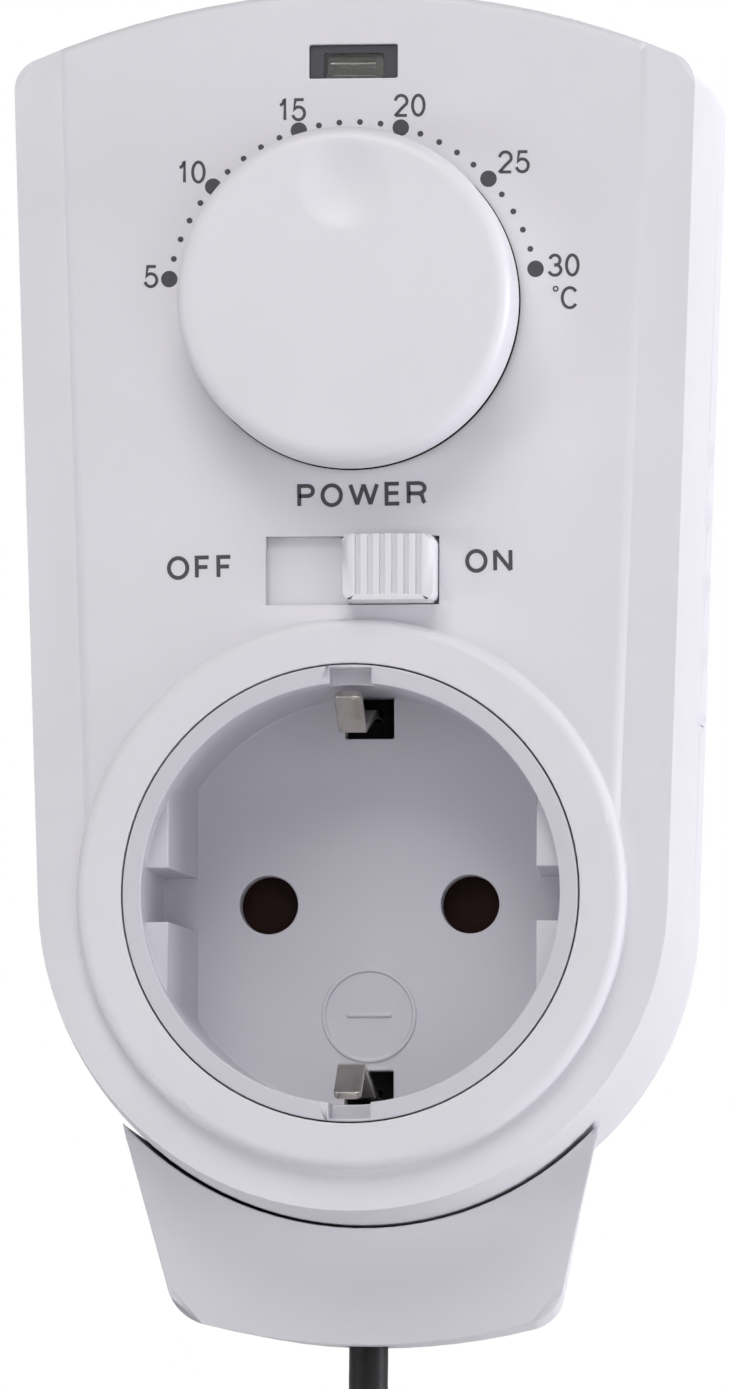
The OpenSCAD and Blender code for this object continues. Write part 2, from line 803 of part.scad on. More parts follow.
module plug_room() {
    slab(-end_wall, plug_inner_y - over) shroud_shape();
    for (x = [-1, 1]) {
        facing(over, x * pin_spacing / 2) cylinder(h = end_wall + 2 * over, r = pin_r + fit_gap / 2);
        for (z = [-1, 1]) {
            translate([x > 0 ? key_pocket_x : -key_pocket_x - plug_r, back_y,
                z > 0 ? key_pocket_low : -key_pocket_high])
                cube([plug_r, plug_len + over, key_pocket_high - key_pocket_low]);
        }
    }
    for (z = [-1, 1]) {
        translate([-earth_room / 2, back_y, z > 0 ? plug_r - earth_groove : -2 * plug_r + earth_groove])
            cube([earth_room, plug_len - earth_lip, plug_r]);
        translate([-earth_room / 2, plug_inner_y - over, z > 0 ? plug_r - earth_groove : -2 * plug_r + earth_groove])
            cube([earth_room, back_y - plug_inner_y + 2 * over, plug_r]);
        translate([-earth_room / 2, plug_inner_y - over,
            z > 0 ? plug_r - 2 * shroud_wall : -2 * plug_r + 2 * shroud_wall])
            cube([earth_room, plug_strap_y + clip_t / 2 + fit_gap - plug_inner_y + over, plug_r]);
    }
}

module shroud_shape() {
    intersection() {
        circle(plug_r - shroud_wall, $fn = 128);
        square([2 * shroud_half, 2 * plug_r], center = true);
    }
}

// The side keys of the recess, with their slightly sloping faces
module key_blocks() {
    difference() {
        intersection() {
            translate([0, 0, -recess_depth - over])
                cylinder(h = recess_depth + over - key_start, r = recess_r + over / 2, $fn = 128);
            both_sides() translate([recess_r - key_in, -recess_r, -recess_depth]) rotate([0, key_draft, 0])
                translate([0, 0, -over]) cube([2 * key_in, 2 * recess_r, recess_depth + 2 * over]);
        }
        translate([-recess_r - over, -key_half, -recess_depth])
            cube([2 * (recess_r + over), 2 * key_half, recess_depth]);
    }
}

module socket_insert() {
    color("whitesmoke")
    difference() {
        union() {
            facing(rim_y) difference() {
                translate([0, 0, -recess_depth - floor_wall])
                    cylinder(h = recess_depth + floor_wall, r = insert_r, $fn = 128);
                translate([0, 0, -recess_depth]) cylinder(h = recess_depth + over, r = recess_r, $fn = 128);
            }
            facing(rim_y) key_blocks();
            facing(inner_face_y + fit_gap + insert_flange_h) difference() {
                cylinder(h = insert_flange_h, r = insert_r + insert_flange, $fn = 128);
                translate([0, 0, -over]) cylinder(h = insert_flange_h + 2 * over, r = insert_r - fit_gap, $fn = 128);
            }
            for (x = [-pillar_at, pillar_at], z = [-pillar_at, pillar_at])
                facing(carrier_y, x, z) cylinder(h = carrier_y - floor_back_y + over / 2, r = pillar_r);
            for (x = [-insert_leg_x, insert_leg_x])
                facing(plug_inner_y - fit_gap, x, 0)
                    cylinder(h = plug_inner_y - fit_gap - floor_back_y + over / 2, r = insert_leg_r);
            facing(carrier_y - fit_gap)
                cylinder(h = carrier_y - fit_gap - floor_back_y + over / 2, r = shutter_pivot_r);
            facing(floor_y, 0, mark_z) floor_mark();
        }
        for (x = [-1, 1]) facing(floor_back_y + over, x * pin_spacing / 2)
            cylinder(h = floor_wall + 2 * over, r = hole_d / 2);
        for (z = [-1, 1]) {
            translate([-window_half, floor_y - over, z > 0 ? clip_window_low : -recess_r])
                cube([2 * window_half, floor_wall + 2 * over, recess_r - clip_window_low]);
            translate([-notch_w / 2, rim_y - over, z > 0 ? recess_r - rim_wall : -recess_r - rim_wall + notch_skin])
                cube([notch_w, notch_depth + over, 2 * rim_wall - notch_skin]);
        }
        for (k = [-1, 1]) facing(carrier_y + over, k * pillar_at, -pillar_at)
            cylinder(h = carrier_screw_reach + over, r = carrier_screw_r + fit_gap / 2);
    }
}

// A raised ring and bar on the recess floor
module floor_mark() {
    translate([0, 0, -mark_h]) difference() {
        cylinder(h = 2 * mark_h, r = mark_r);
        translate([0, 0, -over]) cylinder(h = 2 * mark_h + 2 * over, r = mark_r - mark_w);
    }
    translate([-mark_bar / 2, -mark_w / 2, -mark_h]) cube([mark_bar, mark_w, 2 * mark_h]);
}

module shutter() {
    color("saddlebrown")
    difference() {
        facing(shutter_back_y) cylinder(h = shutter_t, r = shutter_r);
        facing(shutter_back_y + over) cylinder(h = shutter_t + 2 * over, r = shutter_pivot_r + shutter_fit);
        for (k = [0, 180]) facing(shutter_back_y + over,
            pin_spacing / 2 * cos(shutter_turned + k), pin_spacing / 2 * sin(shutter_turned + k))
            cylinder(h = shutter_t + 2 * over, r = hole_d / 2 + fit_gap);
    }
}

module shutter_spring() {
    first_y = shutter_back_y + spring_gap + spring_wire / 2;
    steps = spring_turns * coil_steps;
    color("silver")
    tube(concat(
        [[-spring_leg, first_y, spring_r]],
        [for (i = [0:steps]) let (a = 90 - 360 * i / coil_steps)
            [spring_r * cos(a), first_y + spring_pitch * i / coil_steps, spring_r * sin(a)]],
        [[spring_leg, first_y + spring_pitch * spring_turns, spring_r]]
    ), spring_wire / 2, 6, [0, 1, 0]);
}

module contact_carrier() {
    color("lightgrey")
    difference() {
        slab(carrier_back_y, carrier_y) intersection() {
            circle(carrier_r, $fn = 128);
            square(2 * carrier_half, center = true);
        }
        slab(carrier_back_y + over, carrier_y - over) both_sides()
            translate([pin_spacing / 2, 0]) square(2 * pocket_half, center = true);
        facing(carrier_back_y + over, clip_x)
            cylinder(h = carrier_back_y - carrier_y + 2 * over, r = rivet_r + fit_gap);
        translate([clip_x - clip_w / 2 - fit_gap, carrier_y - over, -carrier_half - over])
            cube([clip_w + 2 * fit_gap, strap_y - carrier_y + clip_t / 2 + fit_gap + over,
                2 * (carrier_half + over)]);
        both_sides() translate([pin_spacing / 2 - tab_half - fit_gap, tab_y - tab_t / 2 - fit_gap, 0])
            cube([2 * (tab_half + fit_gap), tab_t + 2 * fit_gap, carrier_half + over]);
        for (k = [-1, 1]) facing(carrier_back_y + over, k * pillar_at, -pillar_at)
            cylinder(h = carrier_back_y - carrier_y + 2 * over, r = carrier_screw_r + fit_gap);
    }
}

// A bent strip drawn flat: straight runs joined by round bends
module bent_strip(points, t) {
    for (i = [0:len(points) - 2]) {
        a = points[i];
        b = points[i + 1];
        translate(a) rotate(atan2(b[1] - a[1], b[0] - a[0])) translate([0, -t / 2]) square([norm(b - a), t]);
    }
    for (i = [0:len(points) - 1]) translate(points[i]) circle(t / 2, $fn = 24);
}

// Gives a strip drawn in Y and Z its width along X
module across(x, w) {
    translate([x - w / 2, 0, 0]) rotate([90, 0, 90]) linear_extrude(w) children();
}

module earth_bracket() {
    half = [[rim_y + clip_tip, clip_tip_z], [rim_y + clip_bend, clip_bend_z], [floor_y - over, clip_leg_z],
        [strap_y, clip_leg_z]];
    other = [for (i = [len(half) - 1:-1:0]) [half[i][0], -half[i][1]]];
    color("silver") across(clip_x, clip_w) bent_strip(concat(half, other), clip_t);
}

module earth_rivet() {
    back = plug_strap_y - clip_t / 2;
    front = strap_y + clip_t / 2;
    color("silver") facing(back, clip_x) cylinder(h = back - front, r = rivet_r);
}

// A contact that grips a pin between two leaves with flared lips, and leads up to a tab
module pin_contact(x) {
    gap = contact_gap / 2;
    lip_y = contact_front_y + 2 * contact_lip;
    translate([x, 0, 0]) {
        translate([0, 0, -contact_h / 2]) linear_extrude(contact_h) both_sides()
            polygon([[gap, contact_back_y], [gap, lip_y], [gap + contact_lip, contact_front_y],
                [gap + contact_lip + contact_t, contact_front_y], [gap + contact_t, lip_y],
                [gap + contact_t, contact_back_y]]);
        translate([-gap - contact_t, lip_y + contact_lip, contact_h / 2 - contact_t / 2])
            cube([2 * (gap + contact_t), contact_back_y - lip_y - contact_lip, contact_t]);
        translate([-tab_half, tab_y - tab_t / 2, contact_h / 2 - contact_t / 2])
            cube([2 * tab_half, tab_t, tab_z - contact_h / 2 + contact_t / 2]);
    }
}

module live_contact() {
    color("goldenrod") pin_contact(-pin_spacing / 2);
}

module neutral_contact() {
    color("goldenrod") pin_contact(pin_spacing / 2);
}

module busbar(x, reach) {
    translate([x - busbar_w / 2, busbar_y - busbar_t, -busbar_w / 2]) {
        cube([busbar_w, busbar_t, tab_z + busbar_w / 2 + busbar_t]);
        translate([0, -reach, tab_z + busbar_w / 2]) cube([busbar_w, reach + busbar_t, busbar_t]);
    }
}

module live_busbar() {
    color("goldenrod") busbar(-pin_spacing / 2, lug_reach);
}

module neutral_busbar() {
    color("goldenrod") busbar(pin_spacing / 2, busbar_y - busbar_t - tab_y + tab_half);
}

module plug_pin(x) {
    color("silver") facing(busbar_y, x) rotate([180, 0, 0]) {
        cylinder(h = -end_wall - pin_collar_h - busbar_y, r = pin_stem_r);
        translate([0, 0, -end_wall - pin_collar_h - busbar_y]) cylinder(h = pin_collar_h, r = pin_collar_r);
        translate([0, 0, -end_wall - busbar_y - fit_gap])
            cylinder(h = end_wall + 2 * fit_gap, r = pin_r - pin_relief);
        translate([0, 0, -busbar_y]) cylinder(h = pin_len - pin_r, r = pin_r);
        translate([0, 0, pin_len - pin_r - busbar_y]) sphere(pin_r);
    }
}

module plug_pin_live() {
    plug_pin(-pin_spacing / 2);
}

module plug_pin_neutral() {
    plug_pin(pin_spacing / 2);
}

module pin_carrier() {
    back = -end_wall - pin_collar_h - fit_gap;
    color("lightgrey")
    difference() {
        slab(back, back - pin_carrier_t) intersection() {
            circle(plug_r - shroud_wall - fit_gap, $fn = 128);
            square([2 * (shroud_half - fit_gap), 2 * plug_r], center = true);
        }
        for (x = [-1, 1]) facing(back + over, x * pin_spacing / 2)
            cylinder(h = pin_carrier_t + 2 * over, r = pin_stem_r + fit_gap / 2);
    }
}

module plug_earth_strap() {
    low = plug_r - earth_groove + fit_gap + clip_t / 2;
    half = [[-earth_lip - over, low], [-plug_len * earth_bow_share, low + earth_bow],
        [back_y, low], [plug_strap_y, low]];
    other = [for (i = [len(half) - 1:-1:0]) [half[i][0], -half[i][1]]];
    color("silver") across(0, earth_strip_w) bent_strip(concat(half, other), clip_t);
}

module temperature_knob() {
    color("whitesmoke")
    facing(face_y - knob_gap, 0, dial_z) difference() {
        rotate_extrude($fn = 128) difference() {
            union() {
                square([knob_r, knob_h - knob_round]);
                square([knob_r - knob_round, knob_h]);
                translate([knob_r - knob_round, knob_h - knob_round]) circle(knob_round);
                translate([0, -knob_hub_reach]) square([knob_hub_r, knob_hub_reach + over]);
            }
            translate([knob_hub_r, -over]) square([knob_r - knob_wall - knob_hub_r, knob_h - knob_wall + over]);
        }
        difference() {
            translate([0, 0, -knob_hub_reach - over])
                cylinder(h = shaft_in_knob + knob_hub_reach + over, r = shaft_r + fit_gap / 2);
            translate([-shaft_d, shaft_r - shaft_flat + fit_gap / 2, 0])
                cube([2 * shaft_d, shaft_d, 2 * shaft_in_knob]);
        }
        translate([0, dimple_at, knob_h - dimple_depth + dimple_ball]) sphere(dimple_ball, $fn = 128);
    }
}

module control_shaft() {
    length = shaft_in_knob + knob_gap + pot_y - face_y - pot_neck_h + shaft_in_pot;
    color("silver")
    facing(pot_y - pot_neck_h + shaft_in_pot, 0, dial_z) difference() {
        cylinder(h = length, r = shaft_r);
        translate([-shaft_r, shaft_r - shaft_flat, length - shaft_in_knob])
            cube([shaft_d, shaft_flat + over, shaft_in_knob + over]);
    }
}

module potentiometer_body() {
    color("dimgrey")
    facing(board_y, 0, dial_z) difference() {
        union() {
            cylinder(h = board_y - pot_y, r = pot_r);
            cylinder(h = board_y - pot_y + pot_neck_h, r = pot_neck_r);
            translate([-pot_foot_w / 2, -pot_r - pot_foot_h / 2, 0]) cube([pot_foot_w, pot_foot_h, pot_foot_t]);
        }
        translate([0, 0, board_y - pot_y + pot_neck_h - shaft_in_pot - fit_gap])
            cylinder(h = shaft_in_pot + fit_gap + over, r = shaft_r + shaft_fit);
    }
}

module switch_slider() {
    apron_left = slot_w / 2 + apron_lap;
    color("whitesmoke") {
        difference() {
            slab(apron_y + fit_gap, face_y - cap_proud)
                translate([cap_x - cap_w / 2, slide_z - cap_h / 2]) cap_shape();
            for (i = [0:cap_grooves - 1])
                translate([cap_x + (i - (cap_grooves - 1) / 2) * groove_pitch - groove_w / 2,
                    face_y - cap_proud - over,
                    slide_z - cap_h / 2 + groove_stop])
                    cube([groove_w, groove_depth + over, cap_h]);
        }
        slab(apron_back_y, apron_y) translate([-apron_left, slide_z - apron_half_h])
            square([2 * apron_left + slide_travel, 2 * apron_half_h]);
        for (k = [-1, 1])
            translate([cap_x + k * (lever_w / 2 + fork_t / 2 + fit_gap) - fork_t / 2, apron_back_y - fit_gap,
            slide_z - lever_h / 2])
            cube([fork_t, fork_reach + fit_gap, lever_h]);
    }
}

module cap_shape() {
    translate([cap_corner, 0]) square([cap_w - 2 * cap_corner, cap_h]);
    translate([0, cap_corner]) square([cap_w, cap_h - 2 * cap_corner]);
    for (x = [cap_corner, cap_w - cap_corner], z = [cap_corner, cap_h - cap_corner])
        translate([x, z]) circle(cap_corner, $fn = 32);
}

module switch_lever() {
    color("black") translate([cap_x - lever_w / 2, apron_back_y + fit_gap, slide_z - lever_h / 2])
        cube([lever_w, switch_y + switch_slot_depth - apron_back_y - 2 * fit_gap, lever_h]);
}

module slide_switch_body() {
    color("dimgrey")
    difference() {
        translate([-switch_w / 2, switch_y, slide_z - switch_h / 2])
            cube([switch_w, board_y - switch_y, switch_h]);
        translate([-switch_slot_w / 2, switch_y - over, slide_z - switch_slot_h / 2])
            cube([switch_slot_w, switch_slot_depth + over, switch_slot_h]);
    }
}

module indicator_lens() {
    color("dimgrey") {
        slab(inner_face_y + fit_gap, face_y + lens_sink) translate([0, window_z])
            square([window_w - fit_gap, window_h - fit_gap], center = true);
        slab(inner_face_y + fit_gap + lens_flange_t, inner_face_y + fit_gap) translate([0, window_z])
            square([window_w + 2 * lens_lap, window_h + 2 * lens_lap], center = true);
    }
}

module indicator_lamp() {
    color("orange") {
        translate([-lamp_len / 2, lamp_y, window_z]) rotate([0, 90, 0]) cylinder(h = lamp_len, r = lamp_r);
        for (k = [-1, 1]) {
            translate([k * lamp_len / 2 - lamp_wire / 2, lamp_y - lamp_wire / 2, window_z - lamp_wire / 2])
                cube([lamp_wire, board_y - lamp_y + lamp_wire / 2, lamp_wire]);
        }
    }
}

module lamp_holder() {
    low_y = lamp_y + lamp_r - lamp_cup;
    color("whitesmoke")
    difference() {
        translate([-lamp_holder_w / 2, low_y, window_z - lamp_holder_h / 2])
            cube([lamp_holder_w, board_y - low_y, lamp_holder_h]);
        translate([-lamp_len, lamp_y, window_z]) rotate([0, 90, 0]) cylinder(h = 2 * lamp_len, r = lamp_r + fit_gap);
        for (k = [-1, 1])
            translate([k * lamp_len / 2 - lamp_wire / 2 - fit_gap, low_y - over, window_z - lamp_wire / 2 - fit_gap])
                cube([lamp_wire + 2 * fit_gap, board_y - low_y + 2 * over, lamp_wire + 2 * fit_gap]);
    }
}

module circuit_board() {
    color("seagreen")
    slab(board_back_y, board_y) difference() {
        polygon([[-board_half, board_low], [board_half, board_low], [board_half, board_top - board_shoulder],
            [board_top_half, board_top], [-board_top_half, board_top], [-board_half, board_top - board_shoulder]]);
        for (k = [-1, 1]) translate([k * boss_top[0], boss_top[1]]) circle(boss_r + run_gap);
        for (k = [-1, 1]) translate([k * post_at[0], post_at[1]]) circle(board_screw_r + fit_gap);
    }
}

// A box that stands on the back of the board, by its lower left corner and its size
module on_board(x, z, w, h, t) {
    translate([x, board_back_y, z]) cube([w, t, h]);
}

module relay() {
    color("royalblue") on_board(relay_at[0], relay_at[1], relay_size[0], relay_size[1], relay_size[2]);
}

module dropper_capacitor() {
    color("goldenrod") on_board(dropper_at[0], dropper_at[1], dropper_size[0], dropper_size[1], dropper_size[2]);
}

module smoothing_capacitors() {
    color("midnightblue") for (p = smoothing_places) facing(board_back_y + smoothing_h, p[0], p[1])
        cylinder(h = smoothing_h, r = smoothing_r);
}

module surge_varistor() {
    color("teal") translate([varistor_at[0], board_back_y + varistor_r, varistor_at[1]])
        cylinder(h = varistor_t, r = varistor_r);
}

module fuse() {
    color("black") facing(board_back_y + fuse_h, fuse_at[0], fuse_at[1]) cylinder(h = fuse_h, r = fuse_r);
}

module control_chip() {
    color("black") on_board(chip_at[0], chip_at[1], chip_size[0], chip_size[1], chip_size[2]);
}

module resistors() {
    color("tan") for (i = [0:resistor_count - 1])
        translate([resistor_at[0] + i * resistor_pitch, board_back_y + resistor_r, resistor_at[1]])
            cylinder(h = resistor_l, r = resistor_r, $fn = 32);
}

module rectifier_diodes() {
    color("black") for (i = [0:diode_count - 1])
        translate([diode_at[0] + i * resistor_pitch, board_back_y + diode_r, diode_at[1]])
            cylinder(h = diode_l, r = diode_r, $fn = 32);
}

module probe_header() {
    color("whitesmoke") on_board(header_at[0] - header_size[0] / 2, header_at[1] - header_size[1] / 2,
        header_size[0], header_size[1], header_size[2]);
}

module probe_plug() {
    color("whitesmoke") translate([header_at[0] - plug_size[0] / 2, board_back_y + header_size[2],
        header_at[1] - plug_size[1] / 2]) cube([plug_size[0], plug_size[2], plug_size[1]]);
}

module live_wire() {
    color("saddlebrown") tube(laid(live_from, live_pad, wire_share), wire_r, 8, [1, 0, 0]);
}

module neutral_wire() {
    color("blue") tube(laid(neutral_from, neutral_pad, wire_share), wire_r, 8, [1, 0, 0]);
}

module switched_wire() {
    color("black") tube(laid(switched_from, switched_pad, wire_share), wire_r, 8, [1, 0, 0]);
}

module probe_conductors() {
    route = concat(laid(cord_route[0], side_run, to_side_share), laid(side_run, conductor_end, from_side_share));
    color("black") for (k = [-1, 1])
        tube([for (p = route) p + [0, k * conductor_side, 0]], conductor_r, 6, [0, 1, 0]);
}

module cord_clamp() {
    color("lightgrey")
    difference() {
        translate([-clamp_w / 2, cord_y - cord_d / 2 - clamp_t, clamp_z - clamp_h / 2])
            cube([clamp_w, clamp_t + cord_d, clamp_h]);
        translate([cord_x, cord_y, clamp_z - clamp_h]) cylinder(h = 2 * clamp_h, r = cord_hole_r, $fn = 32);
        translate([cord_x - cord_hole_r, cord_y, clamp_z - clamp_h]) cube([2 * cord_hole_r, cord_d, 2 * clamp_h]);
        for (x = [-clamp_post_x, clamp_post_x]) facing(cord_y + cord_d, x, clamp_z)
            cylinder(h = 3 * cord_d, r = clamp_screw_r + fit_gap);
    }
}

// A screw along Y: its head's outer face at y, its point towards way
module screw(y, x, z, shank_r, head_r, head_h, length, way) {
    facing(y, x, z) rotate([way > 0 ? 180 : 0, 0, 0]) difference() {
        union() {
            cylinder(h = head_h, r = head_r, $fn = 32);
            cylinder(h = head_h + length, r = shank_r, $fn = 32);
        }
        for (a = [0, 90]) rotate([0, 0, a]) translate([-head_r / 2, -head_r / 8, -over])
            cube([head_r, head_r / 4, over + head_h / 2]);
    }
}

module clamp_screws() {
    color("silver") for (x = [-clamp_post_x, clamp_post_x])
        screw(cord_y - cord_d / 2 - clamp_t - clamp_head_h, x, clamp_z, clamp_screw_r, clamp_head_r, clamp_head_h,
            clamp_t + cord_d + clamp_screw_reach - over, 1);
}

module housing_screws() {
    seat = back_y - screw_sink;
    color("silver") for (p = boss_places)
        screw(seat + screw_head_h, p[0], p[1], screw_r, screw_head_r, screw_head_h, seat - joint_y + screw_reach, -1);
}

module board_screws() {
    color("silver") for (k = [-1, 1])
        screw(board_back_y + board_screw_head_h, k * post_at[0], post_at[1], board_screw_r, board_screw_head_r,
            board_screw_head_h, board_t + board_screw_reach - over, -1);
}

module carrier_screws() {
    color("silver") for (k = [-1, 1])
        screw(carrier_back_y + carrier_head_h, k * pillar_at, -pillar_at, carrier_screw_r, carrier_head_r,
            carrier_head_h, carrier_back_y - carrier_y + carrier_screw_reach - over / 2, -1);
}

// The coil: turns are wound inwards in one layer and outwards in the next, and climb from
// layer to layer in the half turn where the spiral reverses
coil_total = coil_layers * coil_turns + (coil_layers - 1) / 2;
coil_points = round(coil_total * coil_steps);
coil_inner_r = coil_r - coil_turns * turn_pitch;

function coil_layer(a) = min(coil_layers - 1, floor(a / (coil_turns + 0.5)));
function coil_in_layer(a) = a - coil_layer(a) * (coil_turns + 0.5);
function coil_wound(a) = min(coil_in_layer(a), coil_turns) * turn_pitch;
function coil_radius(a) = coil_layer(a) % 2 == 0 ? coil_r - coil_wound(a) : coil_inner_r + coil_wound(a);
function coil_climb(a) = max(0, coil_in_layer(a) - coil_turns) / 0.5;
function coil_at(a) = let (turned = coil_start - 360 * a, r = coil_radius(a))
    [coil_x + r * cos(turned), coil_back_y - layer_pitch * (coil_layer(a) + coil_climb(a)), coil_z + r * sin(turned)];

coil_way_in = [sin(coil_start), 0, -cos(coil_start)];
coil_route = [for (i = [0:coil_points]) coil_at(coil_total * i / coil_points)];
coil_first = coil_route[0] - cord_d * coil_way_in;
coil_last = coil_route[coil_points] - [0, 0, cord_d];
coil_gap = min([for (i = [0:coil_points], j = [i + coil_steps / 2:1:coil_points])
    norm(coil_route[i] - coil_route[j])]) - cord_d;
coil_length = sum_length(concat([coil_first], coil_route, [coil_last]));
lead_length = sum_length(concat(cord_route, [coil_first - 2 * cord_d * coil_way_in, coil_first]));
tail_length = sum_length(concat([coil_last], tail_route));

function sum_length(p, i = 0) = i >= len(p) - 1 ? 0 : norm(p[i + 1] - p[i]) + sum_length(p, i + 1);

union() {  // cord_coil
    echo(least_gap_between_turns = coil_gap);
    echo(lead_length = lead_length, coil_length = coil_length, tail_length = tail_length,
        whole = lead_length + coil_length + tail_length);
}

module probe_cord() {
    color("black") tube(concat(cord_route, [coil_first - 2 * cord_d * coil_way_in, coil_first]), cord_d / 2, 8);
}

module cord_coil() {
    color("black") tube(concat([coil_first], coil_route, [coil_last]), cord_d / 2, 6);
}

module probe_tail() {
    color("black") tube(concat([coil_last], tail_route), cord_d / 2, 8);
}

module cord_tie() {
    room_r = cord_d / 2 + run_gap;
    w = coil_r - coil_inner_r + 2 * room_r;
    d = coil_back_y - coil_front_y + 2 * room_r;
    color("black") translate([coil_x - (coil_r + coil_inner_r) / 2,
        (coil_back_y + coil_front_y) / 2, coil_z - tie_w / 2])
        linear_extrude(tie_w) difference() {
            square([w + 2 * tie_t, d + 2 * tie_t], center = true);
            square([w, d], center = true);
        }
}

probe_top = tail_route[len(tail_route) - 1];

module probe_sleeve() {
    color("black") translate(probe_top - [0, 0, sleeve_len])
        cylinder(h = sleeve_len, r1 = probe_d / 2 + sleeve_over, r2 = cord_d / 2 + sleeve_over, $fn = 48);
}

module probe_tip() {
    color("silver") translate(probe_top - [0, 0, sleeve_len]) {
        translate([0, 0, -probe_len + probe_d / 2]) cylinder(h = probe_len - probe_d / 2, r = probe_d / 2);
        translate([0, 0, -probe_len + probe_d / 2]) sphere(probe_d / 2);
    }
}

front_cover();
rear_cover();
socket_insert();
shutter();
shutter_spring();
contact_carrier();
earth_bracket();
earth_rivet();
live_contact();
neutral_contact();
live_busbar();
neutral_busbar();
plug_body();
plug_pin_live();
plug_pin_neutral();
pin_carrier();
plug_earth_strap();
temperature_knob();
control_shaft();
potentiometer_body();
switch_slider();
switch_lever();
slide_switch_body();
indicator_lens();
indicator_lamp();
lamp_holder();
circuit_board();
relay();
dropper_capacitor();
smoothing_capacitors();
surge_varistor();
fuse();
control_chip();
resistors();
rectifier_diodes();
probe_header();
probe_plug();
live_wire();
neutral_wire();
switched_wire();
probe_conductors();
cord_clamp();
clamp_screws();
housing_screws();
board_screws();
carrier_screws();
probe_cord();
cord_coil();
cord_tie();
probe_tail();
probe_sleeve();
probe_tip();
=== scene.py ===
"""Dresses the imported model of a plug-in temperature controller.

Right is +X, the wall is +Y, up is +Z, and every length is in metres. The origin lies between
the plug pins, on the plug's end face. The script is laid out as an add-on: sizes and colours
are properties, each piece or group of pieces is an operator, and main() calls them in order.
"""

from math import cos, floor, pi, radians, sin, sqrt, tan

import bmesh
import bpy
from bpy.props import FloatProperty, FloatVectorProperty, IntProperty, PointerProperty
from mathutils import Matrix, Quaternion, Vector
from mathutils.bvhtree import BVHTree
from mathutils.kdtree import KDTree


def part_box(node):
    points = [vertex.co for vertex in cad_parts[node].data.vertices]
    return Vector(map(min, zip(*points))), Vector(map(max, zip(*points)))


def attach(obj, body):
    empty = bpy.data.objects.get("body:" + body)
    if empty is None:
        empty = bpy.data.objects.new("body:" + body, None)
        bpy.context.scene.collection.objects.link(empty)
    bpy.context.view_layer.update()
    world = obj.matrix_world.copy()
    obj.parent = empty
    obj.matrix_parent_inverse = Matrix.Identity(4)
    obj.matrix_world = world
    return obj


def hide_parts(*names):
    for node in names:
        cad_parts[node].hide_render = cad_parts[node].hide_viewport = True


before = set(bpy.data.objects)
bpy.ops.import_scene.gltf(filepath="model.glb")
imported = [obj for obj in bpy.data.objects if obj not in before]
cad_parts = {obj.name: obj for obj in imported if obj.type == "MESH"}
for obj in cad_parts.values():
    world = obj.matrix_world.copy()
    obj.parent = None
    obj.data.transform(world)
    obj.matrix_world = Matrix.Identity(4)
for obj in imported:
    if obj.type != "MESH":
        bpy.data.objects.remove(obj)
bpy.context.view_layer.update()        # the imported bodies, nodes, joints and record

bl_info = {
    "name": "Plug-in Temperature Controller",
    "version": (1, 0, 0),
    "blender": (4, 5, 0),
    "location": "View3D > Sidebar > Controller",
    "description": "Builds the looks of a plug-in temperature controller round its CAD model",
    "category": "Object",
}

MM = 0.001
JOIN = 0.0005 * MM       # points closer than this are one
NEAR = 0.01 * MM         # points closer to a plane than this lie in it
STRIP_EASE = 0.12 * MM   # rounding of a metal strip's long edges
FACE_Y = -58.5 * MM      # the plane of the front face
OUT = Vector((0, -1, 0))  # the way the face looks


def linear(code):
    """Turns an sRGB colour written as #rrggbb into linear red, green, blue and alpha."""
    parts = [int(code[i:i + 2], 16) / 255 for i in (1, 3, 5)]
    return tuple(p / 12.92 if p <= 0.04045 else ((p + 0.055) / 1.055) ** 2.4
                 for p in parts) + (1.0,)


def colour(name, description, code):
    """A colour property with its default written in hex."""
    return FloatVectorProperty(name=name, description=description, subtype="COLOR", size=4,
                               min=0.0, max=1.0, default=linear(code))


def length(name, description, millimetres, low, high):
    """A length property whose default and limits are given in millimetres."""
    return FloatProperty(name=name, description=description, unit="LENGTH", precision=5,
                         default=millimetres * MM, min=low * MM, max=high * MM)


class ControllerColours(bpy.types.PropertyGroup):
    """Colours of the finishes that show."""

    housing: colour("Housing", "Light grey moulding of both covers", "#dddce1")
    knob: colour("Knob and slider", "Smoother moulding of what is handled", "#e1e0e5")
    # The insert's own bluish grey, darkened further as painted shade of the deep recess
    cup: colour("Socket cup", "Moulding of the socket insert", "#cccbd3")
    shutter: colour("Shutter", "Disc behind the pin holes", "#1d0603")
    ink: colour("Ink", "Pad printing on the face", "#3b3b40")
    lens: colour("Lens", "Smoked window over the lamp", "#ececec")
    jacket: colour("Lead", "Jacket of the probe's lead", "#0f0f10")
    nickel: colour("Nickel", "Plating of pins and earth clips", "#cfcbc2")
    floor: colour("Floor", "Floor of the studio", "#f4f4f4")


